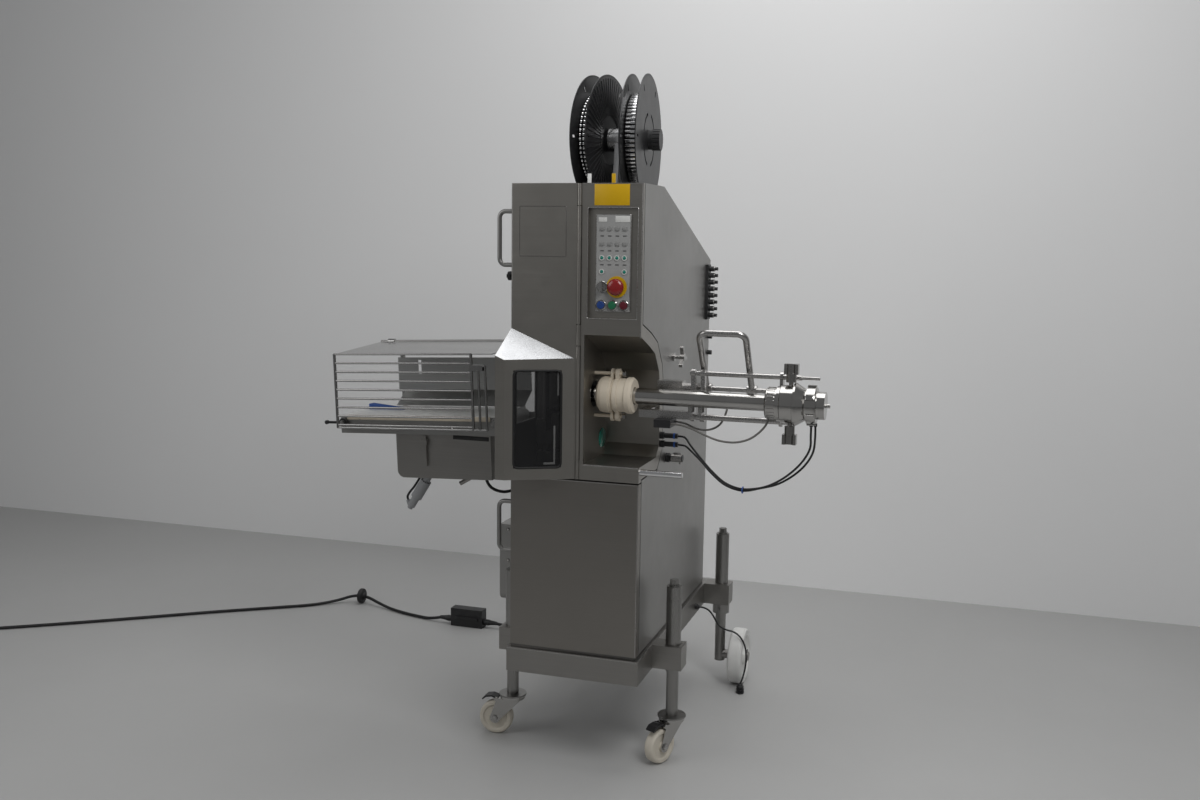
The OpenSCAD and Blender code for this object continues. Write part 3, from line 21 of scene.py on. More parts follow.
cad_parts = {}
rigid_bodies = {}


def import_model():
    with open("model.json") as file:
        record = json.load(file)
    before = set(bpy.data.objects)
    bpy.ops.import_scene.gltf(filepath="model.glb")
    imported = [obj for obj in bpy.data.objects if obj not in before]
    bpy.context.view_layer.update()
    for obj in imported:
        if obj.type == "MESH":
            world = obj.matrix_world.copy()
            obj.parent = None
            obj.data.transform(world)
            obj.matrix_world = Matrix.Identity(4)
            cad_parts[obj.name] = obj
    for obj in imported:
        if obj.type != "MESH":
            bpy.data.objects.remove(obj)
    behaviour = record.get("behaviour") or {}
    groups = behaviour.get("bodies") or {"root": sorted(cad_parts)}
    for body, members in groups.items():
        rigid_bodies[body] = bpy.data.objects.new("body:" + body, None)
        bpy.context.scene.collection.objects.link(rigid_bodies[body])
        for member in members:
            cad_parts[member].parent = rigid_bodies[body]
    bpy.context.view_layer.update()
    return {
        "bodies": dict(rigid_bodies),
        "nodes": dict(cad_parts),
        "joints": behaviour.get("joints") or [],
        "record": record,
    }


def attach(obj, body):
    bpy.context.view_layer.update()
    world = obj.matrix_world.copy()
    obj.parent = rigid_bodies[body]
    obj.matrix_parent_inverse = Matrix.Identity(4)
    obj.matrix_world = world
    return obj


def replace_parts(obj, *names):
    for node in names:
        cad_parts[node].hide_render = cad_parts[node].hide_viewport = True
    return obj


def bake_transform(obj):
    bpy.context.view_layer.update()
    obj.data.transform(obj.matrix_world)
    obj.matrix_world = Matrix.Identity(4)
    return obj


log = logging.getLogger("clipper")

Point = Sequence[float]
Pair = tuple[float, float]
Spot = tuple[float, float, float]
Route = tuple[Spot, ...]
Colour = tuple[float, float, float]
Object = bpy.types.Object
Socket = bpy.types.NodeSocket

ROOT = "machine"
CORD_SLOT = "cable_black"
ORIGIN_X = 148.715889
ORIGIN_Y = 431.0
LINE_Y = 100.0
HORN_Z = 1091.0
SPOOL_AXLE = (183.0, 430.0, 1830.0)
SPOOL_TOE = 4.0  # degrees
SPOOL_OUT = 62.0
CASTER_X = {-1: -64.0, 1: 444.0}
CASTER_TURN = {-1: 185.0, 1: 243.0}  # degrees
CASTER_Y = 180.0
HERE, RIGHTWARD, FRONTWARD, UPWARD = (0, 0, 0), (1, 0, 0), (0, -1, 0), (0, 0, 1)
FRAME_DATA: dict[str, Any] = {}


def mm(x: float, y: float, z: float) -> Vector:
    """Turns a place in cabinet millimetres into metres in the part's frame."""
    return Vector(((x - ORIGIN_X) / 1000.0, (y - ORIGIN_Y) / 1000.0, z / 1000.0))


def turned(degrees: float, axis: str) -> Matrix:
    """Gives a turn about one axis."""
    return Matrix.Rotation(math.radians(degrees), 4, axis)


LOCAL = Matrix.Identity(4)
CABINET = Matrix.Translation((-ORIGIN_X / 1000.0, -ORIGIN_Y / 1000.0, 0.0)) @ Matrix.Scale(0.001, 4)
CONVEYOR = CABINET @ Matrix.Translation((0.0, LINE_Y, 1025.0)) @ turned(-2.4, "Y")
HORN = CABINET @ Matrix.Translation((0.0, LINE_Y, HORN_Z)) @ turned(90.0, "Y")
DOOR_TURN = Matrix.Rotation(math.atan2(90.0, 173.0), 4, "Z")
DOOR_FACE = CABINET @ Matrix.Translation((15.0, -90.0, 0.0)) @ DOOR_TURN


def spool_frame(side: int) -> Matrix:
    """Gives the frame of the left (-1) or right (1) spool: z along its axle, origin at its middle."""
    turn = turned(SPOOL_TOE * side, "Z") @ turned(90.0, "Y")
    return CABINET @ Matrix.Translation(SPOOL_AXLE) @ turn @ Matrix.Translation((0.0, 0.0, SPOOL_OUT * side))


def caster_frame(side: int) -> Matrix:
    """Gives the frame of the left (-1) or right (1) front caster: z up its swivel axis, x along its trail."""
    return CABINET @ Matrix.Translation((CASTER_X[side], CASTER_Y, 0.0)) @ turned(CASTER_TURN[side], "Z")


def linked(name: str, data: Any) -> Object:
    """Makes an object and links it to the scene.

    Args:
        name: The object's name.
        data: Its mesh, camera or lamp.

    Returns:
        The new object.
    """
    obj = bpy.data.objects.new(name, data)
    bpy.context.scene.collection.objects.link(obj)
    return obj


# Node trees


class Val:
    """A node value whose operators add Math nodes to its tree."""

    def __init__(self, graph: Graph, socket: Socket) -> None:
        """Keeps the tree that is built and the socket that holds the value."""
        self.graph = graph
        self.socket = socket

    def __add__(self, other: Num) -> Val:
        """Adds a value."""
        return self.graph.math("ADD", self, other)

    def __radd__(self, other: Num) -> Val:
        """Adds a value from the left."""
        return self.graph.math("ADD", other, self)

    def __sub__(self, other: Num) -> Val:
        """Takes a value away."""
        return self.graph.math("SUBTRACT", self, other)

    def __rsub__(self, other: Num) -> Val:
        """Takes this value from another."""
        return self.graph.math("SUBTRACT", other, self)

    def __mul__(self, other: Num) -> Val:
        """Multiplies by a value."""
        return self.graph.math("MULTIPLY", self, other)

    def __rmul__(self, other: Num) -> Val:
        """Multiplies a value from the left."""
        return self.graph.math("MULTIPLY", other, self)

    def clamped(self) -> Val:
        """Keeps the value between 0 and 1."""
        return self.graph.math("MINIMUM", self.graph.math("MAXIMUM", self, 0.0), 1.0)


Num = Union[float, int, Val, Socket]


class Graph:
    """A node tree under construction."""

    def __init__(self, tree: bpy.types.NodeTree) -> None:
        """Keeps the tree that is built."""
        self.tree = tree

    def node(self, kind: str, inputs: dict[Any, Any] | None = None, **settings: Any) -> bpy.types.Node:
        """Adds a node.

        Args:
            kind: The node's type.
            inputs: Values or links of its sockets, by name or number.
            settings: Its properties, set before its sockets.

        Returns:
            The new node.
        """
        made = self.tree.nodes.new(kind)
        for key, value in settings.items():
            setattr(made, key, value)
        for key, value in (inputs or {}).items():
            self.feed(made.inputs[key], value)
        return made

    def feed(self, socket: Socket, value: Any) -> None:
        """Sets a socket to a value or links it.

        Args:
            socket: The socket.
            value: A Val or another socket to link, or a plain value.
        """
        if isinstance(value, Val):
            self.tree.links.new(value.socket, socket)
        elif isinstance(value, Socket):
            self.tree.links.new(value, socket)
        elif socket.type == "RGBA" and len(value) == 3:
            socket.default_value = (*value, 1.0)
        else:
            socket.default_value = value

    def math(self, operation: str, a: Num, b: Num) -> Val:
        """Adds a Math node of two values."""
        return Val(self, self.node("ShaderNodeMath", {0: a, 1: b}, operation=operation).outputs[0])


class Shade(Graph):
    """A material under construction, with one Principled shader."""

    def __init__(self, name: str) -> None:
        """Starts an empty material.

        Args:
            name: The material's name.
        """
        self.material = bpy.data.materials.new(name)
        self.material.use_nodes = True
        super().__init__(self.material.node_tree)
        self.tree.nodes.clear()
        self.bsdf = self.node("ShaderNodeBsdfPrincipled")
        self.out = self.node("ShaderNodeOutputMaterial", {"Surface": self.bsdf.outputs["BSDF"]})

    def place(self, scale: Point = (1, 1, 1), shift: Point = HERE) -> Socket:
        """Gives the piece's own coordinates, scaled and then shifted.

        Args:
            scale: Scale along x, y and z.
            shift: Shift after the scale.

        Returns:
            The vector socket.
        """
        spot = self.node("ShaderNodeTexCoord").outputs["Object"]
        made = self.node("ShaderNodeMapping", {"Vector": spot, "Location": shift, "Scale": scale})
        return made.outputs["Vector"]

    def noise(self, scale: float, detail: float, rough: float, at: Socket | None = None) -> Val:
        """Adds a noise value from 0 to 1 about 0.5.

        Args:
            scale: Cells in a metre.
            detail: Octaves.
            rough: Weight of the fine octaves.
            at: Coordinates, where they aren't simply the piece's own.

        Returns:
            The noise.
        """
        inputs = {"Vector": at or self.place(), "Scale": scale, "Detail": detail, "Roughness": rough}
        return Val(self, self.node("ShaderNodeTexNoise", inputs).outputs["Fac"])

    def mix(self, share: Num, a: Any, b: Any) -> Socket:
        """Mixes two colours by the share of the second."""
        made = self.node("ShaderNodeMix", {0: share, 6: a, 7: b}, data_type="RGBA", clamp_factor=True)
        return made.outputs[2]

    def bump(self, height: Val, strength: float, distance: float) -> None:
        """Feeds a height into the shader's normal; a height of 1 stands for the distance in metres."""
        made = self.node("ShaderNodeBump", {"Strength": strength, "Distance": distance, "Height": height})
        self.feed(self.bsdf.inputs["Normal"], made.outputs["Normal"])

    def set(self, **values: Any) -> None:
        """Sets the shader's sockets by name, with spaces as underscores."""
        for key, value in values.items():
            self.feed(self.bsdf.inputs[key.replace("_", " ")], value)


class Grain(Enum):
    """Direction of a metal's brushing."""

    ALONG_X = (2.0, 420.0, 420.0)
    ALONG_Z = (420.0, 420.0, 2.0)


@dataclass(frozen=True)
class Finish:
    """A finish, with its name and its middle colour."""

    name: str
    colour: Colour

    def tone(self, by: float) -> Colour:
        """Gives the colour made lighter or darker by a factor."""
        return tuple(min(1.0, max(0.0, c * by)) for c in self.colour)  # type: ignore[return-value]

    def paint(self, s: Shade) -> None:
        """Sets up the shader; each kind of finish has its own way."""
        raise NotImplementedError


@dataclass(frozen=True)
class BrushedSteel(Finish):
    """Brushed stainless sheet with streaks, wiped smudges and faint handling marks."""

    grain: Grain
    rough: float
    streak: float
    smudge: float

    def paint(self, s: Shade) -> None:
        """Lays streaks along the grain, clouds of wiping and small spots.

        Args:
            s: The material under construction.
        """
        streaks = s.noise(1.0, 2.0, 0.6, s.place(self.grain.value))
        clouds = s.noise(3.1, 4.0, 0.6)
        spots = s.noise(22.0, 3.0, 0.6, s.place(shift=(3.1, 1.7, 0.4)))
        tone = s.mix(streaks, self.tone(1 - self.streak), self.tone(1 + self.streak))
        dull = s.mix((clouds - 0.5) * 2.2 * self.smudge + 0.12, tone, self.tone(0.72))
        rough = self.rough + (streaks - 0.5) * 0.16 + (clouds - 0.5) * 0.22 + (spots - 0.5) * 0.08
        s.set(Base_Color=dull, Metallic=1.0, Roughness=rough.clamped())
        s.bump(streaks, 0.10, 0.0003)


@dataclass(frozen=True)
class PolishedSteel(Finish):
    """Turned or polished stainless with fine scratches and dull patches."""

    rough: float
    scratch: float

    def paint(self, s: Shade) -> None:
        """Lays fine scratches over dull patches.

        Args:
            s: The material under construction.
        """
        fine = s.noise(1.0, 2.0, 0.6, s.place((260, 900, 900)))
        clouds = s.noise(9.0, 4.0, 0.6)
        tone = s.mix(clouds, self.tone(0.86), self.tone(1.08))
        rough = self.rough + (fine - 0.5) * self.scratch * 2 + (clouds - 0.5) * 0.16
        s.set(Base_Color=tone, Metallic=1.0, Roughness=rough.clamped())
        s.bump(fine, 0.06, 0.0002)


@dataclass(frozen=True)
class Plastic(Finish):
    """Moulded plastic or rubber with a fine grain and wiped dust."""

    rough: float
    grain: float
    dust: float
    grain_scale: float = 900.0

    def paint(self, s: Shade) -> None:
        """Lays the mould's grain and pale dust.

        Args:
            s: The material under construction.
        """
        grain = s.noise(self.grain_scale, 2.0, 0.5)
        clouds = s.noise(14.0, 4.0, 0.62)
        tone = s.mix(clouds, self.tone(0.90), self.tone(1.08))
        lighter = tuple(c + (0.55 - c) * 0.5 for c in self.colour)
        worn = s.mix(((clouds - 0.52) * 3.0).clamped() * self.dust, tone, lighter)
        rough = self.rough + (clouds - 0.5) * 0.18 + (grain - 0.5) * 0.08
        s.set(Base_Color=worn, Roughness=rough.clamped(), Specular_IOR_Level=0.45)
        s.bump(grain, self.grain, 0.0002)


@dataclass(frozen=True)
class TintedGlass(Finish):
    """Dark tinted pane that shows a little of what is behind it."""

    alpha: float

    def paint(self, s: Shade) -> None:
        """Tints the pane unevenly and coats it.

        Args:
            s: The material under construction.
        """
        clouds = s.noise(7.0, 4.0, 0.6)
        s.set(Base_Color=s.mix(clouds, self.colour, self.tone(1.6)), Roughness=0.08 + (clouds - 0.5) * 0.1)
        s.set(Alpha=self.alpha + (clouds - 0.5) * 0.1, Coat_Weight=0.6, Coat_Roughness=0.03)


@dataclass(frozen=True)
class Lamp(Finish):
    """Small clear lamp cap with an even tint."""

    def paint(self, s: Shade) -> None:
        """Tints the cap and coats it.

        Args:
            s: The material under construction.
        """
        clouds = s.noise(60.0, 3.0, 0.6)
        s.set(Base_Color=s.mix(clouds, self.tone(0.85), self.tone(1.1)))
        s.set(Roughness=0.22 + (clouds - 0.5) * 0.1, Coat_Weight=0.5, Coat_Roughness=0.08)


@cache
def material_of(finish: Finish) -> bpy.types.Material:
    """Makes a finish's material once and hands it out from then on.

    Args:
        finish: The finish.

    Returns:
        Its material.
    """
    shade = Shade(finish.name)
    finish.paint(shade)
    return shade.material


# Finishes of this machine
FRONT = BrushedSteel("front_steel", (0.345, 0.33, 0.305), Grain.ALONG_X, 0.36, 0.07, 0.12)
LOWER = BrushedSteel("lower_steel", (0.27, 0.255, 0.235), Grain.ALONG_X, 0.36, 0.07, 0.12)
WEDGE = BrushedSteel("wedge_steel", (0.46, 0.465, 0.475), Grain.ALONG_X, 0.26, 0.05, 0.08)
SIDE = BrushedSteel("side_steel", (0.345, 0.34, 0.33), Grain.ALONG_Z, 0.38, 0.07, 0.14)
FRAME = BrushedSteel("frame_steel", (0.31, 0.30, 0.285), Grain.ALONG_X, 0.36, 0.08, 0.14)
LEG = BrushedSteel("leg_steel", (0.30, 0.295, 0.285), Grain.ALONG_Z, 0.30, 0.08, 0.16)
SHEET = BrushedSteel("sheet_steel", (0.50, 0.50, 0.49), Grain.ALONG_X, 0.30, 0.06, 0.14)
POLISHED = PolishedSteel("polished_steel", (0.475, 0.465, 0.45), 0.13, 0.08)
SATIN = PolishedSteel("satin_steel", (0.48, 0.47, 0.46), 0.28, 0.10)
DARK = PolishedSteel("dark_steel", (0.16, 0.155, 0.15), 0.38, 0.10)
# Painted reflection: the guard's wire steel is darker than the other polished steel, standing for dark
# surroundings mirrored in it.
WIRE = PolishedSteel("wire_steel", (0.37, 0.365, 0.36), 0.20, 0.08)
KNOB = PolishedSteel("knob_steel", (0.40, 0.39, 0.375), 0.22, 0.10)
CREAM = Plastic("cream_plastic", (0.72, 0.64, 0.52), 0.46, 0.06, 0.06)
WHEEL = Plastic("wheel_plastic", (0.66, 0.61, 0.52), 0.50, 0.08, 0.10)
WHITE = Plastic("white_plastic", (0.78, 0.78, 0.76), 0.45, 0.05, 0.05)
BELT = Plastic("belt_white", (0.90, 0.90, 0.88), 0.50, 0.25, 0.06, 1400.0)
BLACK = Plastic("black_plastic", (0.018, 0.018, 0.019), 0.42, 0.14, 0.10)
SPOOL = Plastic("spool_black", (0.014, 0.014, 0.015), 0.36, 0.10, 0.08)
CABLE = Plastic("cable_black", (0.012, 0.012, 0.013), 0.48, 0.12, 0.10)
SEAL = Plastic("seal_black", (0.010, 0.010, 0.010), 0.60, 0.10, 0.10)
GREY = Plastic("plug_grey", (0.20, 0.20, 0.205), 0.48, 0.10, 0.12)
CONNECTOR = Plastic("connector_grey", (0.34, 0.345, 0.355), 0.45, 0.08, 0.10)
CONTROL = Plastic("control_grey", (0.33, 0.33, 0.325), 0.36, 0.04, 0.05)
KEY_GREY = Plastic("key_grey", (0.09, 0.09, 0.09), 0.42, 0.05, 0.04)
KEY_WHITE = Plastic("key_white", (0.66, 0.66, 0.64), 0.40, 0.05, 0.04)
KEY_MID = Plastic("key_mid", (0.25, 0.25, 0.245), 0.42, 0.05, 0.04)
HOSE = Plastic("hose_grey", (0.16, 0.155, 0.145), 0.40, 0.06, 0.06)
YELLOW = Plastic("yellow_plastic", (0.62, 0.37, 0.002), 0.40, 0.05, 0.04)
RED = Lamp("red", (0.25, 0.010, 0.012))
BLUE = Lamp("blue", (0.012, 0.05, 0.22))
GREEN = Lamp("green", (0.012, 0.15, 0.065))
MAROON = Lamp("maroon", (0.11, 0.008, 0.016))
TEAL = Lamp("teal", (0.01, 0.20, 0.15))
BLUE_STRIP = Plastic("blue_plastic", (0.03, 0.10, 0.38), 0.40, 0.05, 0.04)
CLIPS = PolishedSteel("clip_metal", (0.86, 0.86, 0.87), 0.16, 0.08)
GLASS = TintedGlass("tinted_glass", (0.020, 0.020, 0.021), 0.38)


# Meshes


def rect(a0: float, a1: float, b0: float, b1: float) -> list[Pair]:
    """Gives the corners of a rectangle, or of a ring's section from its radii and heights."""
    return [(a0, b0), (a1, b0), (a1, b1), (a0, b1)]


def circle(radius: float, steps: int) -> list[Pair]:
    """Gives points round a circle, or its middle alone where the radius is 0."""
    angles = [2 * math.pi * k / steps for k in range(steps if radius > 0 else 1)]
    return [(radius * math.cos(a), radius * math.sin(a)) for a in angles]


class Form:
    """A mesh under construction, in the millimetres of one frame."""

    def __init__(self, frame: Matrix = CABINET) -> None:
        """Starts an empty mesh in a frame."""
        self.frame = frame
        self.bm = bmesh.new()

    def take(self, made: bmesh.types.BMesh, bevel: float = 0.0, middle: Point = HERE) -> Form:
        """Moves another bmesh's faces into this one.

        Args:
            made: The other bmesh.
            bevel: Radius that its edges are rounded by.
            middle: Where its origin goes.

        Returns:
            This form.
        """
        if bevel > 0:
            bmesh.ops.bevel(made, geom=made.edges[:], offset=bevel, segments=2, affect="EDGES", profile=0.5)
        made.transform(Matrix.Translation(middle))
        spare = bpy.data.meshes.new("spare")
        made.to_mesh(spare)
        made.free()
        self.bm.from_mesh(spare)
        bpy.data.meshes.remove(spare)
        return self

    def box(self, lo: Point, hi: Point, bevel: float) -> Form:
        """Adds a box with rounded edges.

        Args:
            lo: Lowest corner.
            hi: Highest corner.
            bevel: Radius of its edges.

        Returns:
            This form.
        """
        made = bmesh.new()
        bmesh.ops.create_cube(made, size=1.0)
        bmesh.ops.scale(made, vec=[b - a for a, b in zip(lo, hi)], verts=made.verts)
        return self.take(made, bevel, [(a + b) / 2 for a, b in zip(lo, hi)])

    def loft(self, rings: Sequence[Sequence[Vector]], closed: bool = False, bevel: float = 0.0) -> Form:
        """Skins rings of points that follow each other, with a face on each end.

        Args:
            rings: Points of each ring, or one point for a tip.
            closed: True where the last ring joins the first, so that there are no ends.
            bevel: Radius of the edges.

        Returns:
            This form.
        """
        made = bmesh.new()
        loops = [[made.verts.new(p) for p in ring] for ring in rings]
        for low, high in zip(loops, loops[1:] + (loops[:1] if closed else [])):
            for k in range(max(len(low), len(high))):
                below = [low[i % len(low)] for i in (k, k + 1)]
                above = [high[i % len(high)] for i in (k + 1, k)]
                made.faces.new(tuple(dict.fromkeys(below + above)))
        for end in () if closed else (loops[0][::-1], loops[-1]):
            if len(end) > 1:
                made.faces.new(end)
        bmesh.ops.recalc_face_normals(made, faces=made.faces[:])
        return self.take(made, bevel)

    def lathe(
        self, profile: Sequence[Point], origin: Point, axis: Point, steps: int, closed: bool = False
    ) -> Form:
        """Turns a profile round an axis.

        Args:
            profile: Radius and height of each corner, from the lower to the upper end.
            origin: Where height is 0.
            axis: Direction of height.
            steps: Faces round the axis.
            closed: True for a section that does not touch the axis.

        Returns:
            This form.
        """
        turn = Vector(UPWARD).rotation_difference(Vector(axis).normalized()).to_matrix().to_4x4()
        place = Matrix.Translation(Vector(origin)) @ turn
        rings = []
        for radius, height in profile:
            rings.append([place @ Vector((x, y, height)) for x, y in circle(radius, steps)])
        return self.loft(rings, closed)

    def ring(self, profile: Sequence[Point], origin: Point, axis: Point, steps: int) -> Form:
        """Turns a closed section that does not touch the axis."""
        return self.lathe(profile, origin, axis, steps, True)

    def tube(self, path: Sequence[Vector], radius: float, sides: int, closed: bool = False) -> Form:
        """Sweeps a circle along a path.

        Args:
            path: Points of the centre line.
            radius: Radius of the circle.
            sides: Faces round it.
            closed: True where the path returns to its start.

        Returns:
            This form.
        """
        rounds = circle(radius, sides)
        rings = []
        for point, across, up in carried(path, closed):
            rings.append([point + across * x + up * y for x, y in rounds])
        return self.loft(rings, closed)

    def piece(self, name: str, body: str, finish: Finish, slot: str = "", smooth: float = 35.0) -> Object:
        """Finishes the mesh as a piece: shaded, dressed and riding on a body.

        Args:
            name: The piece's name.
            body: The CAD body that carries it; empty where it rides on none.
            finish: Its finish.
            slot: The record's material slot, where it has one; not used.
            smooth: Largest angle that is shaded smooth, in degrees.

        Returns:
            The new object.
        """
        mesh = bpy.data.meshes.new(name)
        self.bm.transform(self.frame)
        self.bm.to_mesh(mesh)
        self.bm.free()
        obj = linked(name, mesh)
        mesh.materials.append(material_of(finish))
        mesh.shade_smooth()
        mesh.set_sharp_from_angle(angle=math.radians(smooth))
        if body:
            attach(obj, body)
        log.info("piece %s on %s, %d faces", name, body or "two bodies", len(mesh.polygons))
        return obj


def carried(path: Sequence[Vector], closed: bool = False) -> list[tuple[Vector, Vector, Vector]]:
    """Carries a cross frame along a path without twist.

    Args:
        path: Points of the path.
        closed: True where the path returns to its start.

    Returns:
        For each point, the point and two directions across the path.
    """
    n = len(path)
    headings = []
    for i in range(n):
        a = path[(i - 1) % n] if closed or i > 0 else path[i]
        b = path[(i + 1) % n] if closed or i < n - 1 else path[i]
        headings.append((b - a).normalized())
    first = headings[0]
    across = first.cross(Vector((0, 0, 1)) if abs(first.z) < 0.9 else Vector((1, 0, 0))).normalized()
    found = []
    for point, heading in zip(path, headings):
        across = (across - heading * across.dot(heading)).normalized()
        found.append((point, across, heading.cross(across)))
    return found


def part(p: Vector, q: Vector, start: float, end: float, at: float) -> Vector:
    """Goes from one point to another as a value goes from its start to its end."""
    return p * ((end - at) / (end - start)) + q * ((at - start) / (end - start))


def smooth_path(points: Sequence[Point], step: float = 6.0) -> list[Vector]:
    """Runs one smooth curve through points.

    Args:
        points: Points on the curve, in millimetres.
        step: Distance between the curve's new points.

    Returns:
        The curve's points.
    """
    p = [Vector(q) for q in points]
    ends = [p[0] * 2 - p[1]] + p + [p[-1] * 2 - p[-2]]
    found = [p[0]]
    for i in range(1, len(ends) - 2):
        a, b, c, d = ends[i - 1 : i + 3]
        t0, t1 = 0.0, (b - a).length ** 0.5
        t2 = t1 + (c - b).length ** 0.5
        t3 = t2 + (d - c).length ** 0.5
        count = max(2, round((c - b).length / step))
        for k in range(1, count + 1):
            t = t1 + (t2 - t1) * k / count
            a1, a2, a3 = part(a, b, t0, t1, t), part(b, c, t1, t2, t), part(c, d, t2, t3, t)
            b1, b2 = part(a1, a2, t0, t2, t), part(a2, a3, t1, t3, t)
            found.append(part(b1, b2, t1, t2, t))
    return found


def path_length(path: Sequence[Vector]) -> float:
    """Gives a path's length."""
    return sum((b - a).length for a, b in zip(path, path[1:]))


def rounded(outline: Sequence[Point], radius: float, steps: int = 5) -> list[Pair]:
    """Rounds an outline's corners.

    Args:
        outline: Corners in order.
        radius: Radius of the rounding.
        steps: Points in each rounding.

    Returns:
        The new outline.
    """
    found: list[Pair] = []
    n = len(outline)
    for i in range(n):
        a, b, c = (Vector(outline[(i + k) % n]) for k in (-1, 0, 1))
        u, v = (a - b), (c - b)
        r = min(radius, u.length * 0.45, v.length * 0.45)
        p, q = b + u.normalized() * r, b + v.normalized() * r
        for k in range(steps + 1):
            t = k / steps
            s = p * (1 - t) ** 2 + b * (2 * t * (1 - t)) + q * t**2
            found.append((s.x, s.y))
    return found


# Repeats


class Repeat(Enum):
    """How repeated items are laid out."""

    AT_POINTS = "at_points"
    ROUND_RING = "round_ring"


class Repeater:
    """Builds the Geometry Nodes trees that repeat an item, and turns the result into a piece."""

    @staticmethod
    @cache
    def tree(kind: Repeat, finish: Finish) -> bpy.types.NodeTree:
        """Gives the tree of a kind of repeat, with one finish.

        Args:
            kind: The layout.
            finish: The finish of the items.

        Returns:
            The node tree, with its inputs named.
        """
        tree = bpy.data.node_groups.new(f"{kind.value}_{finish.name}", "GeometryNodeTree")
        tree.interface.new_socket(name="Geometry", in_out="OUTPUT", socket_type="NodeSocketGeometry")
        sorts = {"Geometry": "Geometry", "Item": "Object", "Count": "Int", "Radius": "Float"}
        for name, sort in sorts.items():
            tree.interface.new_socket(name=name, in_out="INPUT", socket_type=f"NodeSocket{sort}")
        graph = Graph(tree)
        given = graph.node("NodeGroupInput").outputs
        item = graph.node("GeometryNodeObjectInfo", {"Object": given["Item"]})
        if kind is Repeat.AT_POINTS:
            points = graph.node("GeometryNodeMeshToPoints", {"Mesh": given["Geometry"]})
            layout = {"Points": points.outputs["Points"]}
        else:
            index = graph.node("GeometryNodeInputIndex").outputs["Index"]
            angle = graph.math("DIVIDE", index, given["Count"]) * (2 * math.pi)
            start = graph.node("ShaderNodeCombineXYZ", {"X": given["Radius"]}).outputs[0]
            swing = {"Vector": start, "Angle": angle}
            spot = graph.node("ShaderNodeVectorRotate", swing, rotation_type="Z_AXIS")
            ring = graph.node("GeometryNodePoints", {"Count": given["Count"], "Position": spot.outputs[0]})
            spin = graph.node("ShaderNodeCombineXYZ", {"Z": angle}).outputs[0]
            euler = graph.node("FunctionNodeEulerToRotation", {"Euler": spin})
            layout = {"Points": ring.outputs[0], "Rotation": euler.outputs["Rotation"]}
        put = graph.node("GeometryNodeInstanceOnPoints", {"Instance": item.outputs["Geometry"], **layout})
        real = graph.node("GeometryNodeRealizeInstances", {"Geometry": put.outputs["Instances"]})
        coat = {"Geometry": real.outputs["Geometry"], "Material": material_of(finish)}
        dress = graph.node("GeometryNodeSetMaterial", coat)
        graph.node("NodeGroupOutput", {"Geometry": dress.outputs["Geometry"]})
        return tree

    @classmethod
    def make(
        cls,
        name: str,
        item: Form,
        body: str,
        finish: Finish,
        points: Sequence[Point] = (),
        frame: Matrix = CABINET,
        count: int = 0,
        radius: float = 0.0,
        smooth: float = 35.0,
    ) -> Object:
        """Repeats an item and makes a piece of the result.

        Args:
            name: The piece's name.
            item: The item, in millimetres about its own origin.
            body: The CAD body that carries the piece.
            finish: The finish.
            points: Places of the items; where there are none, the items stand round a ring.
            frame: The frame of the points or of the ring.
            count: Items on a ring.
            radius: Radius of a ring.
            smooth: Largest angle that is shaded smooth, in degrees.

        Returns:
            The new object.
        """
        item_mesh = bpy.data.meshes.new(name + "_item")
        item.bm.to_mesh(item_mesh)
        item.bm.free()
        host_mesh = bpy.data.meshes.new(name + "_host")
        host_mesh.from_pydata([tuple(p) for p in points], [], [])
        model, host = linked(item_mesh.name, item_mesh), linked(host_mesh.name, host_mesh)
        modifier = host.modifiers.new("repeat", "NODES")
        tree = cls.tree(Repeat.AT_POINTS if points else Repeat.ROUND_RING, finish)
        modifier.node_group = tree
        ids = {s.name: s.identifier for s in tree.interface.items_tree if s.in_out == "INPUT"}
        for key, value in (("Item", model), ("Count", count), ("Radius", radius)):
            modifier[ids[key]] = value
        bpy.context.view_layer.update()
        seen = host.evaluated_get(bpy.context.evaluated_depsgraph_get())
        result = bpy.data.meshes.new_from_object(seen)
        for obj in (model, host):
            bpy.data.objects.remove(obj)
        form = Form(frame)
        form.bm.from_mesh(result)
        bpy.data.meshes.remove(result)
        return form.piece(name, body, finish, smooth=smooth)


# Stage


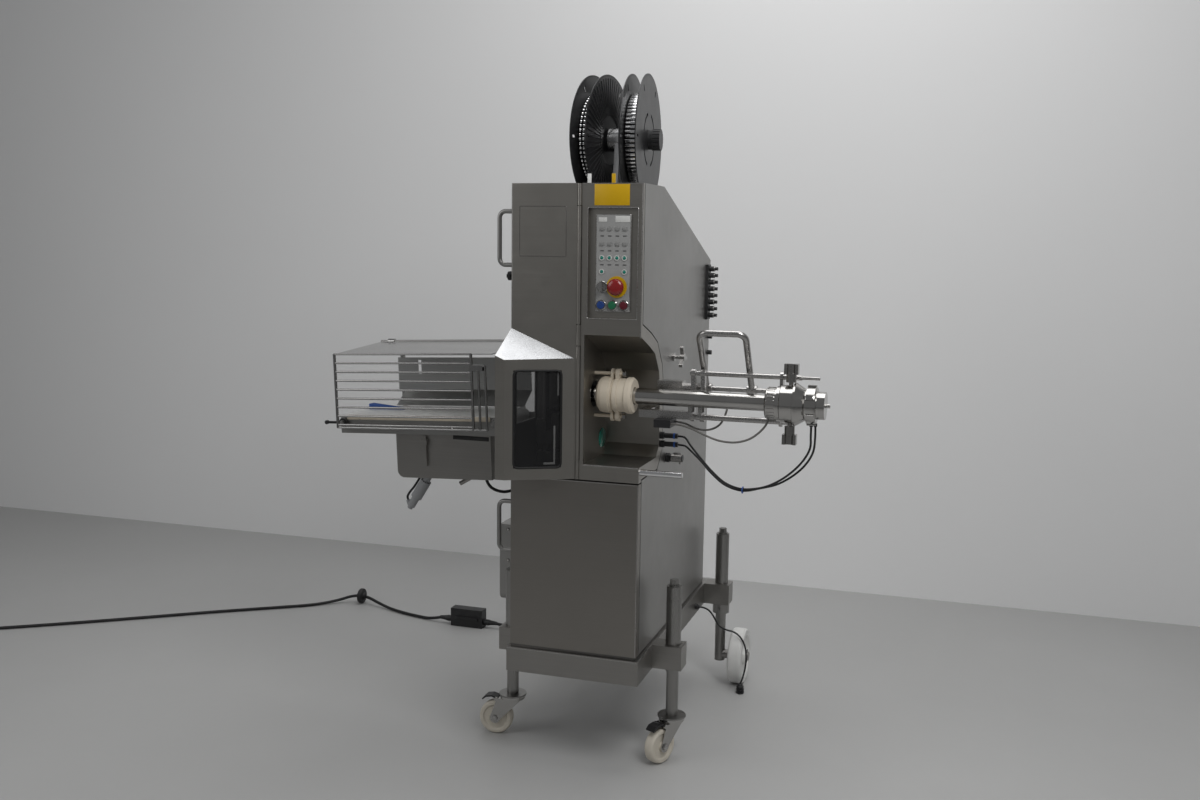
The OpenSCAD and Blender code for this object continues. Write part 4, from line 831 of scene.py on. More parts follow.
@dataclass
class Stage:
    """Camera, pale floor, backdrop and soft light."""

    sensor: float = 36.0
    focal_px: float = 1185.6654
    photo_px: float = 1200.0
    eye: Spot = (1261.5, -3100.0, 1520.0)
    yaw: float = 17.8183
    pitch: float = 7.5665
    roll: float = 0.7607
    reach: float = 9000.0
    wall_y: float = 2100.0
    wall_top: float = 5000.0

    def camera(self) -> None:
        """Puts the camera where the photograph was taken from."""
        yaw, pitch, roll = (math.radians(a) for a in (self.yaw, self.pitch, self.roll))
        ahead = Vector((-math.sin(yaw) * math.cos(pitch), math.cos(yaw) * math.cos(pitch), -math.sin(pitch)))
        right = Vector((math.cos(yaw), math.sin(yaw), 0.0))
        up = right.cross(ahead)
        side = right * math.cos(roll) + up * math.sin(roll)
        top = up * math.cos(roll) - right * math.sin(roll)
        data = bpy.data.cameras.new("view")
        data.sensor_fit = "HORIZONTAL"
        data.sensor_width = self.sensor
        data.lens = self.sensor * self.focal_px / self.photo_px
        data.clip_end = 60.0
        obj = linked("view", data)
        turn = Matrix((side, top, -ahead)).transposed().to_4x4()
        obj.matrix_world = Matrix.Translation(mm(*self.eye)) @ turn
        bpy.context.scene.camera = obj

    def floor(self) -> None:
        """Lays the floor and stands the backdrop behind it."""
        s = Shade("floor_pale")
        clouds = s.noise(0.7, 5.0, 0.6)
        fine = s.noise(40.0, 3.0, 0.6)
        s.set(Base_Color=s.mix(clouds, (0.42, 0.42, 0.415), (0.50, 0.50, 0.495)))
        s.set(Roughness=(0.5 + (fine - 0.5) * 0.1).clamped(), Specular_IOR_Level=0.3)
        wall = Shade("backdrop_pale")
        soft = wall.noise(0.5, 3.0, 0.5)
        wall.set(Base_Color=wall.mix(soft, (0.84, 0.84, 0.84), (0.90, 0.90, 0.90)), Roughness=0.9)
        behind = wall.node("ShaderNodeNewGeometry").outputs["Backfacing"]
        clear = wall.node("ShaderNodeBsdfTransparent").outputs["BSDF"]
        one_sided = wall.node("ShaderNodeMixShader", {0: behind, 1: wall.bsdf.outputs["BSDF"], 2: clear})
        wall.feed(wall.out.inputs["Surface"], one_sided.outputs["Shader"])
        wide, back, top = self.reach, self.wall_y, self.wall_top
        for name, shade, corners in (
            ("floor", s, [(-wide, -wide, 0), (wide, -wide, 0), (wide, wide, 0), (-wide, wide, 0)]),
            ("backdrop", wall, [(-wide, back, 0), (wide, back, 0), (wide, back, top), (-wide, back, top)]),
        ):
            mesh = bpy.data.meshes.new(name)
            mesh.from_pydata([mm(*c) for c in corners], [], [(0, 1, 2, 3)])
            mesh.materials.append(shade.material)
            linked(name, mesh)

    def light(self) -> None:
        """Hangs soft lamps above and sets an even world."""
        world = bpy.data.worlds.new("studio")
        bpy.context.scene.world = world
        world.use_nodes = True
        sky = world.node_tree.nodes["Background"].inputs
        sky["Color"].default_value = (0.80, 0.81, 0.82, 1.0)
        sky["Strength"].default_value = 0.20
        for name, place, aim, size, power in (
            ("key", (1900, -1500, 3300), (150, 300, 900), 1.6, 44.0),
            ("fill", (-2300, -1800, 2600), (150, 300, 800), 2.4, 22.0),
            ("top", (500, 700, 4000), (200, 430, 800), 2.6, 42.0),
        ):
            data = bpy.data.lights.new(name, "AREA")
            data.shape = "DISK"
            data.size = size
            data.energy = power
            obj = linked(name, data)
            eye, goal = mm(*place), mm(*aim)
            turn = (goal - eye).to_track_quat("-Z", "Y").to_matrix().to_4x4()
            obj.matrix_world = Matrix.Translation(eye) @ turn

    def build(self) -> None:
        """Sets up the whole stage."""
        bpy.context.scene.view_settings.view_transform = "Standard"
        self.camera()
        self.floor()
        self.light()


# Cords


@dataclass
class Cord:
    """One free cord: its route in cabinet millimetres, its thickness and what it joins."""

    name: str
    route: Sequence[Spot]
    thick: float
    far_end: str
    stiffness: str = "medium"
    lay: str = "loose"
    with_nodes: tuple[str, ...] = ()
    blend_to: str = ""
    blend_from: Spot = HERE
    blend_end: Spot = HERE
    step: float = 6.0
    finish: Plastic = CABLE

    def build(self, stands_for: tuple[str, ...] = (), pieces: Sequence[Object] = ()) -> Object:
        """Args:
            stands_for: CAD nodes that it replaces.
            pieces: Pieces that are on the cord; not used.

        Returns:
            The cord's object.
        """
        path = smooth_path(self.route, self.step)
        form = Form().tube(path, self.thick / 2, 12)
        obj = form.piece(self.name, "" if self.blend_to else ROOT, self.finish, CORD_SLOT)
        if self.blend_to:
            mm(*self.blend_from)
            mm(*self.blend_end)
            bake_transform(obj)
        if stands_for:
            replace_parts(obj, *stands_for)
        line = [mm(*p) for p in path]
        self.thick / 1000.0
        log.info("cord %s is %.3f m long", self.name, path_length(line))
        return obj


def coil_points(
    middle: Point, outer: float, pitch: float, turns: int, start: float, thick: float
) -> list[Spot]:
    """Winds a flat coil of two layers, inwards below and outwards on top.

    Args:
        middle: Middle of the coil on the floor.
        outer: Radius of the outermost turn.
        pitch: Distance between turns.
        turns: Turns in each layer.
        start: Angle where the cord comes in, in degrees.
        thick: The cord's diameter.

    Returns:
        Points along the coil.
    """
    found = []
    steps, climb = 18, 6
    layer = turns * steps
    low, high = thick / 2 + 0.5, thick * 1.5 + 1.0
    for k in range(2 * layer + 1):
        a = math.radians(start) + 2 * math.pi * k / steps
        r = outer - pitch * min(k, 2 * layer - k) / steps
        z = low + (high - low) * min(1.0, max(0, k - layer) / climb)
        found.append((middle[0] + r * math.cos(a), middle[1] + r * math.sin(a), z))
    return found


@dataclass
class CordSet:
    """Mains cord with its coil and plug, sensor cables, air hoses and leads."""

    mains_d: float = 12.0
    cable_d: float = 6.0
    coil: Pair = (-2440.0, 280.0)
    coil_radius: float = 84.0
    coil_pitch: float = 12.5
    coil_turns: int = 2
    coil_start: float = 120.0
    disc_at: Spot = (-1164.0, 1205.0, 32.0)
    plug_at: Spot = (-2524.0, 223.0, 31.0)
    inlet: Route = (
        (70, 866.3, 395), (70, 900, 395), (68, 950, 372), (62, 990, 315), (52, 1018, 235), (36, 1040, 155),
        (8, 1058, 84), (-40, 1072, 34), (-105, 1080, 10), (-200, 1086, 7), (-320, 1090, 7), (-420, 1090, 9),
        (-476, 1090, 18), (-512, 1090, 22), (-535.7, 1090, 22),
    )
    mains: Route = (
        (-712.3, 1090, 22), (-736, 1090, 22), (-766, 1093, 15), (-806, 1099, 8), (-860, 1110, 7),
        (-930, 1129, 7), (-1010, 1158, 9), (-1077, 1184, 18), (-1125, 1199, 28), (-1164, 1205, 32),
        (-1205, 1197, 28), (-1252, 1170, 15), (-1300, 1128, 8), (-1350, 1082, 7), (-1424, 1030, 7),
        (-1540, 952, 7), (-1656, 873, 7), (-1872, 716, 7), (-2088, 562, 7), (-2302, 418, 7), (-2366, 379, 7),
    )
    tail: Route = ((-2523.6, 266.0, 20.0), (-2524.0, 246.0, 26.5), (-2524.0, 223.3, 30.8))
    cable_front: Route = (
        (835, 100, 1031.5), (835, 100, 1006), (834.5, 99, 974), (817, 97, 938), (778, 96, 896),
        (730, 98, 864), (690, 102, 850), (645, 108, 845), (600, 114, 857), (560, 121, 886), (524, 130, 920),
        (490, 150, 950),
        (466, 192, 962), (449, 222, 962), (432.8, 227, 962),
    )
    cable_rear: Route = (
        (845.5, 107, 1031.5), (846, 107, 1004), (842, 106, 962), (822, 105, 925), (790, 105, 893),
        (748, 107, 866), (700, 111, 850), (650, 117, 838), (600, 124, 848), (558, 133, 876), (522, 144, 909),
        (490, 160, 932),
        (466, 196, 938), (449, 226, 936), (432.8, 231, 936),
    )
    hose_front: Route = (
        (444.3, 97, 1017), (470, 97, 1016), (505, 92, 1008), (545, 90, 992), (585, 88, 980), (630, 88, 978),
        (668, 90, 989), (694, 93, 1008), (712, 97, 1030), (718, 100, 1046.2),
    )
    hose_rear: Route = (
        (444.3, 151, 1017), (470, 152, 1013), (505, 160, 998), (540, 164, 997), (568, 168, 1012),
        (583, 173, 1042), (589, 183, 1074), (590, 195, 1102.5),
    )
    lead: Route = (
        (-338, 100, 826.6), (-337.3, 100, 809), (-348, 100, 790), (-359, 100, 774), (-370, 100, 761),
        (-378, 100, 749), (-380, 100, 742), (-377.6, 100, 734.1),
    )
    drain: Route = (
        (-120, 100, 835.5), (-119.4, 100, 821), (-115, 101, 806), (-104, 103, 792), (-86, 108, 783),
        (-66, 114, 780), (-46, 121, 784), (-30, 128, 790), (-15, 133, 794.5), (-0.4, 133.5, 795),
    )
    floor: Route = (
        (404, 700, 304), (416, 701, 303), (432, 708, 294), (444, 724, 273), (452, 746, 245), (462, 771, 219),
        (480, 792, 203), (504, 799, 196), (528, 795, 181), (545, 788, 155), (552, 780, 122), (552, 771, 86),
        (547, 760, 55), (541, 752, 34.4),
    )

    def build(self) -> None:
        """Makes every cord of the machine."""
        self.mains_run()
        self.horn_leads()
        self.small_leads()

    def mains_run(self) -> None:
        """Makes the inlet cord, the mains cord with its coil and the rubber disc on it."""
        boots = [
            self.boot("inlet_relief", (70, 866.2, 395), (0, 1, 0)),
            self.boot("connector_relief_right", (-535.8, 1090, 22), RIGHTWARD),
        ]
        inlet = Cord("inlet_cord", self.inlet, self.mains_d, "connector", with_nodes=("cord_connector",))
        inlet.build((), boots)
        rim = [(13, 17), (15, 14), (16, 10), (29, 8), (31, 5)]
        profile = [(0, -17), *((r, -h) for r, h in rim), *rim[::-1], (0, 17)]
        disc = Form().lathe(profile, self.disc_at, (-80, -2, 0), 36)
        ball = disc.piece("mains_disc", ROOT, CABLE, CORD_SLOT)
        turns = coil_points(
            self.coil, self.coil_radius, self.coil_pitch, self.coil_turns, self.coil_start, self.mains_d
        )
        quarter = []
        for k in range(1, 4):
            a, r = math.radians(self.coil_start + 15.0 * k), self.coil_radius
            quarter.append((self.coil[0] + r * math.cos(a), self.coil[1] + r * math.sin(a), turns[-1][2]))
        route = [*self.mains, *turns, *quarter, *self.tail]
        cord = Cord(
            "mains_cord_run", route, self.mains_d, "plug", lay="coiled", with_nodes=("mains_plug",), step=7.0
        )
        boots = [
            self.boot("connector_relief_left", (-712.2, 1090, 22), (-1, 0, 0)),
            self.boot("plug_relief", (-2524, 223.2, 31), (0, 1, -0.1), 26.0),
        ]
        cord.build(("mains_cord", "mains_coil"), [ball, self.coil_tie()] + boots + self.plug())

    def boot(self, name: str, at: Point, axis: Point, long: float = 34.0) -> Object:
        """Makes a ribbed, tapered strain relief where the mains cord leaves a gland.

        Args:
            name: The piece's name.
            at: Middle of the gland's face.
            axis: Direction of the cord.
            long: Length of the relief.

        Returns:
            The new piece.
        """
        collar, ribs = 4, 5
        profile: list[Pair] = [(0, 0), (11, 0), (11, collar)]
        step = (long - collar) / ribs
        for k in range(ribs):
            low, thick = collar + step * k, 10.2 - 0.7 * k
            thin = thick - 1.0
            profile += [(thick, low + 0.5), (thick, low + step * 0.6)]
            profile += [(thin, low + step * 0.7), (thin, low + step)]
        profile.append((0, long))
        return Form().lathe(profile, at, axis, 24).piece(name, ROOT, BLACK, CORD_SLOT)

    def coil_tie(self) -> Object:
        """Ties the coil's turns together with one strap.

        Returns:
            The strap.
        """
        x = self.coil[0]
        path = [Vector((x, y, z)) for y, z in rounded(rect(187.0, 230.0, 1.7, 27.5), 9.0, 4)]
        form = Form().tube(path, 1.6, 8, True).box((x - 4, 203, 26), (x + 4, 214, 31), 1.0)
        return form.piece("coil_tie", ROOT, GREY, CORD_SLOT)

    def plug(self) -> list[Object]:
        """Makes the plug's collar, its face and its contact pins.

        Returns:
            The three pieces.
        """
        x, _, z = self.plug_at
        collar = Form().ring([(31, 56), (32.2, 58), (32.2, 74), (31, 76)], self.plug_at, FRONTWARD, 48)
        collar.box((x - 8, 128, z + 30), (x + 8, 160, z + 35), 1.5)
        face = Form().lathe(rect(0, 27, 119, 120.6), self.plug_at, FRONTWARD, 40)
        pin = Form(LOCAL).lathe([(0, 0), (3.4, 0), (3.4, 5), (2.4, 6.5), (0, 6.5)], HERE, FRONTWARD, 14)
        angles = [math.radians(90 + 72 * k) for k in range(5)]
        spots = [(x + 17 * math.cos(a), 102.6, z + 17 * math.sin(a)) for a in angles]
        return [
            collar.piece("plug_collar", ROOT, RED, CORD_SLOT),
            face.piece("plug_face", ROOT, BLACK, CORD_SLOT),
            Repeater.make("plug_pins", pin, ROOT, POLISHED, spots),
        ]

    def horn_leads(self) -> None:
        """Makes the cables and hoses between the cabinet and the sliding horn."""
        start, end = (520.0, 100.0, 950.0), (760.0, 100.0, 950.0)
        cable = {"lay": "hanging", "blend_to": "horn", "blend_from": start, "blend_end": end}
        front = Cord("sensor_cable_front", self.cable_front[::-1], self.cable_d, "object", **cable)
        front.build(("horn_leads",))
        rear = Cord("sensor_cable_rear", self.cable_rear[::-1], self.cable_d, "object", **cable)
        path = [Vector((650, y, z)) for y, z in rounded(rect(103, 122, 833, 849), 6.0, 4)]
        band = Form().tube(path, 1.6, 8, True).piece("cable_tie", "", BLUE_STRIP)
        mm(*start)
        mm(*end)
        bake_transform(band)
        rear.build((), [band])
        start, end = (460.0, 100.0, 1000.0), (580.0, 100.0, 1000.0)
        hose = {**cable, "blend_from": start, "blend_end": end, "finish": HOSE}
        Cord("air_hose_front", self.hose_front, self.cable_d, "object", **hose).build()
        Cord("air_hose_rear", self.hose_rear, self.cable_d, "object", **hose).build()

    def small_leads(self) -> None:
        """Makes the conveyor's lead and drain hose and the lead beside the rear wheel."""
        lead = Cord("conveyor_lead", self.lead, 7.0, "connector", "limp", "hanging", ("conveyor_plug",))
        lead.build(("conveyor_leads",))
        Cord("drain_hose", self.drain, 9.0, "object", lay="hanging").build()
        profile = [
            (0, 0), (13, 0), (14, 2), (14, 7), (10, 8.5), (10, 10), (13.5, 11.5), (13.5, 16), (9.5, 17.5),
            (9.5, 19), (12.5, 20.5), (12.5, 25), (9, 27), (9, 31), (6, 34), (0, 34),
        ]
        end = Form().lathe(profile, (540, 750, 0), UPWARD, 28)
        cap = end.piece("floor_connector", ROOT, BLACK, CORD_SLOT)
        cable = Cord("floor_cable", self.floor, self.cable_d, "connector", lay="hanging")
        cable.build(("floor_lead",), [cap])
        profile = [(0, 0), (9, 0), (9, 7), (7, 9), (5, 15), (0, 15)]
        gland = Form().lathe(profile, (389, 700, 304), RIGHTWARD, 20)
        gland.piece("floor_cable_gland", ROOT, BLACK, CORD_SLOT)


# Sub-assemblies


@dataclass
class Cabinet:
    """Seals, painted shadow above the base frame, folded edges with painted highlight, blank plates and small
    hardware of the cabinet.
    """

    seal_x: float = 378.0
    cover_edge: tuple[Pair, ...] = (
        (16, 1677), (16, 1299.7), (109.1, 1269.1), (174.7, 1239.4), (230.2, 1172.1), (250, 1109.6),
        (250, 919.8), (197.2, 865), (30, 865), (30, 361),
    )

    def build(self) -> None:
        """Makes every fine part of the cabinet."""
        self.seals_and_painted_shadow()
        self.edges()
        self.plates()
        self.hardware()

    def seals_and_painted_shadow(self) -> None:
        """Lays the dark strip round the side cover, and above the base frame a dark ring that paints the
        shadow in the gap there.
        """
        path = [Vector((self.seal_x, y, z)) for y, z in self.cover_edge]
        Form().tube(path, 1.5, 8).piece("side_seal", ROOT, SEAL)
        # Painted shadow: a dark ring fills the recessed gap between the base frame and the cabinet, standing
        # for the shade there.
        base = Form()
        for lo, hi in (
            ((1.2, 1.2, 350.2), (378.8, 2.8, 357.8)), ((377.2, 1.2, 350.2), (378.8, 838.8, 357.8)),
            ((1.2, 1.2, 350.2), (2.8, 838.8, 357.8)), ((1.2, 837.2, 350.2), (378.8, 838.8, 357.8)),
        ):
            base.box(lo, hi, 0.4)
        base.piece("base_seal", ROOT, DARK)

    def edges(self) -> None:
        """Rounds the folded edges that catch the light, in a steel lighter than the sheets' that paints their
        highlight.
        """
        # Painted highlight: the rounded edge beads are real, but their steel is lighter and glossier than the
        # sheets they belong to.
        form = Form()
        for a, b, radius in (
            ((-8, -5.8, 346.8), (388, -5.8, 346.8), 3.4), ((385.8, -5.8, 346.8), (385.8, 880, 346.8), 3.4),
            ((3, 1.8, 853.2), (378, 1.8, 853.2), 2.0), ((378, 1.8, 360), (378, 1.8, 853), 2.0),
            ((217, 1.5, 901.5), (378, 1.5, 901.5), 2.0), ((207, 1.8, 1678.2), (378, 1.8, 1678.2), 2.0),
            ((378.2, 1.8, 1262), (378.2, 1.8, 1678), 2.0),
        ):
            form.tube([Vector(a), Vector(b)], radius, 12)
        form.piece("folded_edges", ROOT, SATIN)

    def plates(self) -> None:
        """Puts up the blank yellow plate and the clip guides' sleeves."""
        Form().box((242, -0.9, 1620), (342, 0.4, 1677), 0.35).piece("yellow_plate", ROOT, YELLOW)
        Form().box((175.8, 134.6, 1684), (186.2, 141.4, 1713), 1.2).piece("guide_sleeve_left", ROOT, WHITE)
        Form().box((247.8, 134.6, 1684), (258.2, 141.4, 1713), 1.2).piece("guide_sleeve_right", ROOT, YELLOW)

    def hardware(self) -> None:
        """Adds the recess's lamp, box screws, the stop bar's sleeve, socket bands and fitting collars."""
        lamp = Form().lathe([(0, 0), (29, 0), (29, 2), (26, 4), (0, 4.6)], (217, 172, 953), RIGHTWARD, 36)
        lamp.piece("recess_lamp", ROOT, TEAL)
        screw = Form(LOCAL).lathe([(0, 0), (5, 0), (5, 2), (3.4, 3.4), (0, 3.4)], HERE, FRONTWARD, 16)
        spots = [(x, 250, z) for x in (-110, -20) for z in (450, 532, 630)]
        Repeater.make("box_screws", screw, ROOT, POLISHED, spots)
        profile = [(0, 0), (8.8, 0), (8.8, 119.5), (7.4, 121.2), (0, 121.2)]
        Form().lathe(profile, (380, 11.5, 889.5), RIGHTWARD, 28).piece("stop_bar_sleeve", ROOT, CLIPS)
        ties = Form()
        for y, z in ((227.0, 962.0), (231.0, 936.0)):
            ties.ring(rect(7.4, 8.7, 0, 5), (420, y, z), RIGHTWARD, 24)
        ties.piece("socket_ties", ROOT, BLUE_STRIP)
        sleeve = Form().ring(rect(10.8, 12.4, 0, 32), (398, 296, 884), RIGHTWARD, 28)
        sleeve.box((404, 290, 895), (428, 302, 901), 1.5).box((421, 291, 866), (427, 301, 873), 1.2)
        sleeve.piece("socket_sleeve", ROOT, SATIN)
        ring = Form(LOCAL).ring(rect(5.8, 8.6, 0, 2.4), HERE, RIGHTWARD, 20)
        fittings = [(404, 794, 1284 + 22 * k) for k in range(8)]
        Repeater.make("fitting_collars", ring, ROOT, SATIN, fittings)


@dataclass
class Controls:
    """Keys, lamps, rings and blank strips on the control plate."""

    front: float = 8.0
    columns: tuple[float, ...] = (262.7, 284.2, 305.8, 327.3)
    stop: Spot = (306.8, 8.0, 1400.0)

    def build(self) -> None:
        """Makes the whole panel."""
        self.stop_button()
        self.keys()
        self.rings()

    def stop_button(self) -> None:
        """Turns the smooth head of the emergency stop and its yellow ring."""
        head = [
            (0, 0), (10.2, 0), (10.2, 8), (20, 8), (23, 11), (23, 16), (22, 19.5), (19.5, 22.5), (15, 24.8),
            (8, 25.9), (0, 26.2),
        ]
        obj = Form().lathe(head, self.stop, FRONTWARD, 56).piece("stop_head", "estop_button", RED)
        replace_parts(obj, "estop_button")
        Form().ring(rect(15.5, 29.5, 3.05, 3.8), self.stop, FRONTWARD, 56).piece("stop_ring", ROOT, YELLOW)

    def keys(self) -> None:
        """Sets the rows of keys, lamps and their plain marks."""
        cap = Form(LOCAL).box((-6, -1.4, -5), (6, 0.2, 5), 0.9)
        spots = [(x, self.front - 1.2, z) for z in (1557.0, 1516.4) for x in self.columns]
        Repeater.make("grey_keys", cap, ROOT, KEY_MID, spots)
        lamp = Form(LOCAL).lathe([(0, 0), (5, 0), (5, 1), (3.4, 2.2), (0, 2.6)], HERE, FRONTWARD, 20)
        places = [(x, self.front - 1.0, 1478.7) for x in self.columns]
        places += [(x, self.front - 1.0, 1441.0) for x in (self.columns[0], self.columns[-1])]
        Repeater.make("status_lamps", lamp, ROOT, TEAL, places)
        rim = Form(LOCAL).ring(rect(5.2, 7.2, 0, 1.6), HERE, FRONTWARD, 24)
        Repeater.make("lamp_rims", rim, ROOT, KEY_WHITE, places)
        mark = Form(LOCAL).box((-5, -0.4, -1.6), (5, 0.2, 1.6), 0.15)
        dashes = [(x, self.front - 0.1, z) for z in (1538.0, 1498.0, 1460.0) for x in self.columns]
        Repeater.make("key_marks", mark, ROOT, KEY_GREY, dashes)
        line = Form()
        for x0, z0, x1, z1, y in ((224, 1313, 367, 1614, 0.0), (246, 1333, 344, 1596, 7.8)):
            outline = rounded(rect(x0, x1, z0, z1), 3.0, 2)
            line.tube([Vector((x, y, z)) for x, z in outline], 1.0, 6, True)
        line.piece("panel_lines", ROOT, SATIN)
        blank = Form().box((300, 7.0, 1575), (342, 8.2, 1592), 0.3)
        blank.box((252, 7.2, 1576), (276, 8.2, 1588), 0.3)
        blank.piece("blank_strips", ROOT, KEY_WHITE)

    def rings(self) -> None:
        """Rings the selector and the push buttons with bright metal."""
        section = [(12.8, 0.5), (15.6, 0.5), (15.6, 4.6), (14.6, 5.6), (12.8, 5.6)]
        collar = Form().ring(section, (265.6, self.front, 1400), FRONTWARD, 40)
        collar.piece("selector_collar", ROOT, POLISHED)
        section = [(11.6, 2.4), (14.4, 2.4), (14.4, 3.8), (13, 5), (11.6, 5)]
        bezel = Form(LOCAL).ring(section, HERE, FRONTWARD, 36)
        spots = [(x, self.front, 1350.0) for x in (262.3, 295.0, 327.7)]
        Repeater.make("button_bezels", bezel, ROOT, POLISHED, spots)


@dataclass
class Door:
    """Window gasket, bare name place, edges with a painted highlight and polished box top of the swinging
    door.
    """

    face: Matrix = field(default_factory=DOOR_FACE.copy)
    box_top: float = 1278.0

    def build(self) -> None:
        """Makes the door's fine parts."""
        outline = rounded(rect(27, 160, 893, 1166), 14.0, 5)
        gasket = Form(self.face).tube([Vector((x, 0.8, z)) for x, z in outline], 3.4, 10, True)
        gasket.piece("window_gasket", "door", SEAL)
        frame = rounded(rect(24, 161, 1480, 1617), 2.0, 2)
        Form().tube([Vector((x, 0.1, z)) for x, z in frame], 0.9, 6, True).piece("name_place", "door", DARK)
        self.wedge()
        strip = Form(self.face).box((150, 7.1, 1095), (155, 9, 1160), 0.6)
        strip.box((140, 7.1, 905), (145, 9, 1010), 0.6).box((112, 7.1, 900), (145, 9, 906), 0.6)
        strip.piece("pane_strips", "door", WHITE)
        # Painted highlight: the door's folded edge is a bead of lighter, glossier steel than the door's face.
        fold = [Vector((x, 1.8, z)) for x, z in ((2, 1280), (2, 1678.2), (191, 1678.2))]
        Form().tube(fold, 1.9, 10).piece("door_edges", "door", SATIN)

    def wedge(self) -> None:
        """Lays the polished sheet on the sloping top of the window box."""
        drop, wide, deep, corner, lip = 78.0, 188.0, 90.0, 15.0, 4.0
        fall = drop / wide
        pitch = (drop - fall * corner + lip) / deep
        corners = ((187.0, -0.6), (15.0, -89.6), (-11.4, -89.6), (0.4, -0.6))
        sheet = [(x, y, self.box_top - fall * x + pitch * y) for x, y in corners]
        faces = [[Vector((x, y, z + lift)) for x, y, z in sheet] for lift in (-0.6, 0.35)]
        Form().loft(faces).piece("box_top_sheet", "door", WEDGE)


@dataclass
class HornGroup:
    """Rings, lugs, nuts and sensor boots of the horn and its brake."""

    frame: Matrix = field(default_factory=HORN.copy)

    def build(self) -> None:
        """Makes the horn's fine parts."""
        lug = Form(LOCAL).box((-2.5, -8, 823), (2.2, 8, 847), 1.2)
        Repeater.make("nut_lugs", lug, "horn", POLISHED, frame=self.frame, count=6, radius=53.0)
        grip = Form(LOCAL).box((-1.6, -2.6, 716), (1.2, 2.6, 738), 0.8)
        Repeater.make("union_ribs", grip, "horn", POLISHED, frame=self.frame, count=24, radius=43.6)
        lines = Form()
        for x, radius in ((741.6, 44.4), (752.0, 49.2), (789.0, 52.6)):
            lines.ring(rect(radius - 3, radius, 0, 1.6), (x, LINE_Y, HORN_Z), RIGHTWARD, 56)
        lines.piece("joint_lines", "horn", DARK)
        boots = Form()
        for at in ((835, 100, 1031.8), (845.5, 107, 1031.8)):
            boots.lathe([(0, -9), (4.8, -9), (4.8, -1.2), (4.2, -0.2), (0, -0.2)], at, (0, 0, -1), 18)
        boots.piece("sensor_boots", "horn", BLACK)
        nuts = Form()
        for z in (1030.0, 1152.0):
            nuts.lathe([(0, 0), (9, 0), (9, 7), (7.4, 8.5), (0, 8.5)], (302, LINE_Y, z), RIGHTWARD, 6)
        nuts.piece("brake_nuts", ROOT, POLISHED, smooth=20.0)


@dataclass
class Spools:
    """Clip strands, ribs and rims of the two spools."""

    beads: int = 66
    bead_radius: float = 136.0
    ribs: int = 60
    rib_radius: float = 129.0
    bars: int = 64
    bar_radius: float = 132.0

    def build(self) -> None:
        """Makes the fine parts of both spools."""
        left = spool_frame(-1)
        drum = Form(left).lathe(rect(0, 127, -22, 22), HERE, UPWARD, 64)
        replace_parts(drum.piece("clip_drum", "left_spool", SPOOL), "left_clips")
        bead = Form(LOCAL)
        for z in (-16.5, -5.5, 5.5, 16.5):
            bead.lathe([(0, z - 5.4), (4, z - 4), (5.6, z), (4, z + 4), (0, z + 5.4)], HERE, UPWARD, 10)
        layout = {"frame": left, "count": self.beads, "radius": self.bead_radius}
        Repeater.make("bead_strands", bead, "left_spool", CLIPS, **layout)
        rib = Form(LOCAL).box((-56, -1.6, 25.3), (56, 1.6, 27.2), 0.5)
        layout = {"frame": left, "count": self.ribs, "radius": self.rib_radius}
        Repeater.make("flange_ribs", rib, "left_spool", SPOOL, **layout)
        right = spool_frame(1)
        core = Form(right).lathe(rect(0, 126, -22, 22), HERE, UPWARD, 64)
        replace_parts(core.piece("bar_drum", "right_spool", SPOOL), "right_clips")
        bar = Form(LOCAL).box((-6, -4.4, -19), (6, 4.4, 19), 1.6)
        layout = {"frame": right, "count": self.bars, "radius": self.bar_radius}
        Repeater.make("bar_clips", bar, "right_spool", CLIPS, **layout)
        for side, body in ((-1, "left_spool"), (1, "right_spool")):
            rims = Form(spool_frame(side))
            for z in (-25.5, 22.5):
                rims.ring(rect(189, 195, z, z + 3), HERE, UPWARD, 96)
            rims.piece(f"{body}_rims", body, BLACK)


@dataclass
class Conveyor:
    """Blue edge strip, wear strip, housing slot drawn as a black plate of painted shade, and rail bolts of
    the discharge conveyor.
    """

    def build(self) -> None:
        """Makes the conveyor's fine parts."""
        edge = [(-516, 0.4), (-396, 0.4), (-396, 7), (-500, 20), (-516, 17)]
        sides = [[Vector((x, y, z)) for x, z in edge] for y in (14, 19)]
        Form(CONVEYOR).loft(sides, bevel=1.2).piece("blue_strip", ROOT, BLUE_STRIP)
        Form(CONVEYOR).box((-520, -112.6, -15), (-60, -110.2, -1), 0.4).piece("belt_wear_strip", ROOT, CREAM)
        # Painted shade: the housing's slot is a black plate on its face, standing for the shade inside the
        # opening.
        Form().box((-176, -10.9, 951), (-64, -9.6, 963), 0.4).piece("housing_slot", ROOT, SEAL)
        bolt = Form(LOCAL).lathe([(0, 0), (6, 0), (6, 4), (4.6, 5), (0, 5)], HERE, FRONTWARD, 6)
        spots = [(x, -117, -34) for x in (-470.0, -380.0, -180.0, -90.0)]
        Repeater.make("rail_bolts", bolt, ROOT, POLISHED, spots, CONVEYOR, smooth=20.0)


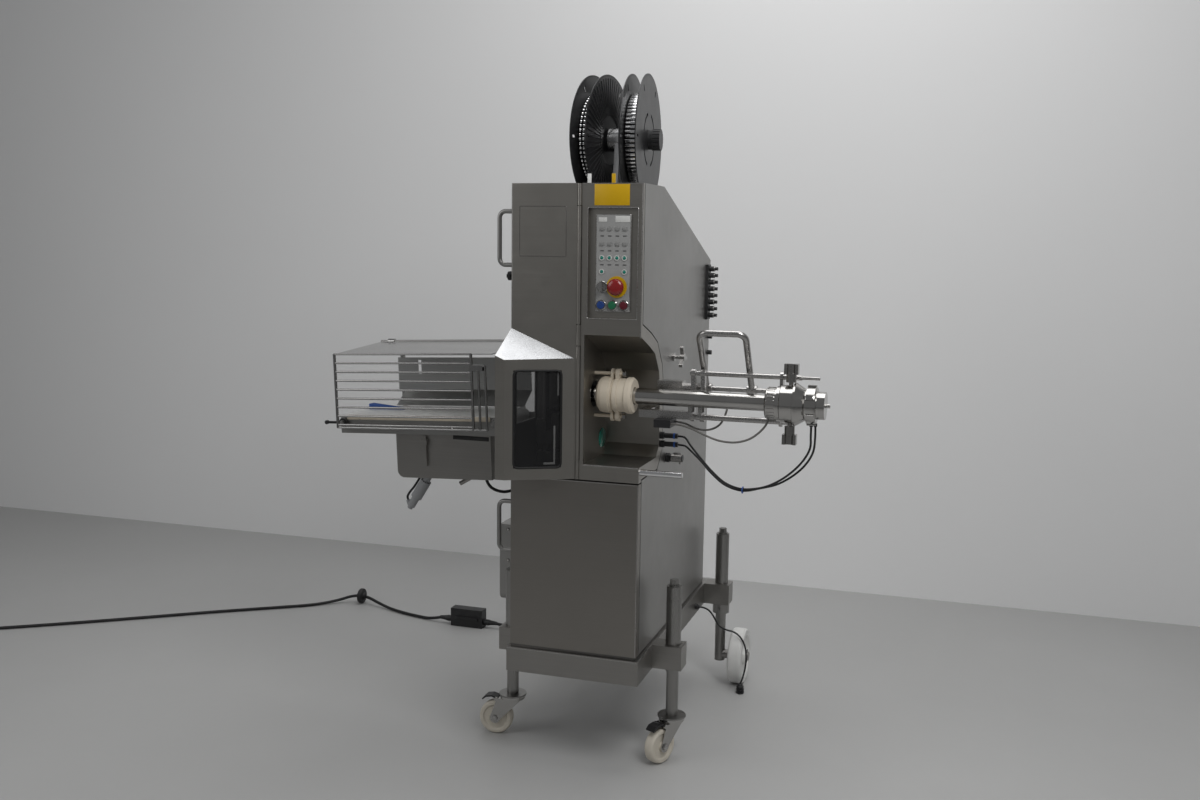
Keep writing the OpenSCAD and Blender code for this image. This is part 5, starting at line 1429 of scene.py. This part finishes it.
@dataclass
class Undercarriage:
    """Axle nuts, swivel races and hub rings of the casters and rear wheels."""

    axle: Spot = (52.0, 0.0, 52.5)
    rear_out: float = 68.0
    rear_y: float = 857.0
    rear_z: float = 95.0

    def build(self) -> None:
        """Makes the fine parts of both casters and both rear wheels."""
        for side, word in ((-1, "left"), (1, "right")):
            frame = caster_frame(side)
            nuts = Form(frame)
            for way in (-1, 1):
                nuts.lathe([(0, 21.8), (10, 21.8), (10, 26), (8, 28), (0, 28)], self.axle, (0, way, 0), 6)
            nuts.piece(f"axle_nuts_{word}", f"caster_fork_{word}", SATIN, smooth=20.0)
            section = [(34, 117), (37.6, 117), (38.6, 120), (37.6, 126), (34, 126)]
            race = Form(frame).ring(section, HERE, UPWARD, 48)
            race.piece(f"swivel_race_{word}", f"caster_fork_{word}", POLISHED)
            hub = Form(frame)
            for way in (-1, 1):
                hub.ring(rect(8, 14.6, 16, 18.4), self.axle, (0, way, 0), 32)
            hub.piece(f"hub_rings_{word}", f"caster_wheel_{word}", SATIN)
            middle = (CASTER_X[side] + self.rear_out * side, self.rear_y, self.rear_z)
            cap = Form().ring(rect(16, 25, 26, 28.6), middle, (side, 0, 0), 40)
            cap.piece(f"rear_hub_{word}", f"rear_wheel_{word}", GREY)


# CAD nodes under each finish
NODES_OF: dict[Finish, str] = {
    FRAME: "base_frame drive_housing",
    LEG: "leg_tubes inner_leg_left inner_leg_right",
    POLISHED: "caster_fork_left caster_fork_right horn_tube horn_coupling",
    WHEEL: "caster_wheel_left caster_wheel_right",
    BLACK: "brake_pedal_left brake_pedal_right door_latch side_fittings spool_knob tension_lever "
    "cord_connector",
    WHITE: "rear_wheel_left rear_wheel_right",
    SIDE: "cabinet_shell side_cover electrical_box conveyor_frame",
    LOWER: "lower_front_panel",
    FRONT: "front_frame door",
    CONTROL: "control_plate",
    RED: "estop_button mains_plug",
    SATIN: "selector_knob star_knob horn_guide pull_handle drive_roller idler_roller",
    BLUE: "blue_button",
    GREEN: "green_button",
    MAROON: "red_button",
    GLASS: "door_window",
    CREAM: "casing_brake",
    KNOB: "top_wing_knob bottom_wing_knob",
    CLIPS: "spool_post left_clips right_clips",
    SPOOL: "left_spool right_spool",
    BELT: "conveyor_belt",
    SHEET: "product_guides",
    WIRE: "wire_guard",
    DARK: "closing_drive upper_tool lower_tool",
    CABLE: "mains_cord mains_coil horn_leads conveyor_leads floor_lead",
    CONNECTOR: "conveyor_plug",
}


def dress_nodes() -> None:
    """Gives every CAD node the finish of its sub-part."""
    finish_of = {name: finish for finish, names in NODES_OF.items() for name in names.split()}
    for name, obj in FRAME_DATA["nodes"].items():
        material = material_of(finish_of[name])
        if not obj.material_slots:
            obj.data.materials.append(material)
        for place in obj.material_slots:
            place.material = material


def main() -> None:
    """Builds the stage, the cords and every sub-assembly."""
    logging.basicConfig(level=logging.INFO, format="%(name)s: %(message)s")
    FRAME_DATA.update(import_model())
    Stage().build()
    dress_nodes()
    for group in (CordSet, Cabinet, Controls, Door, HornGroup, Spools, Conveyor, Undercarriage):
        group().build()


if __name__ == "__main__":
    main()
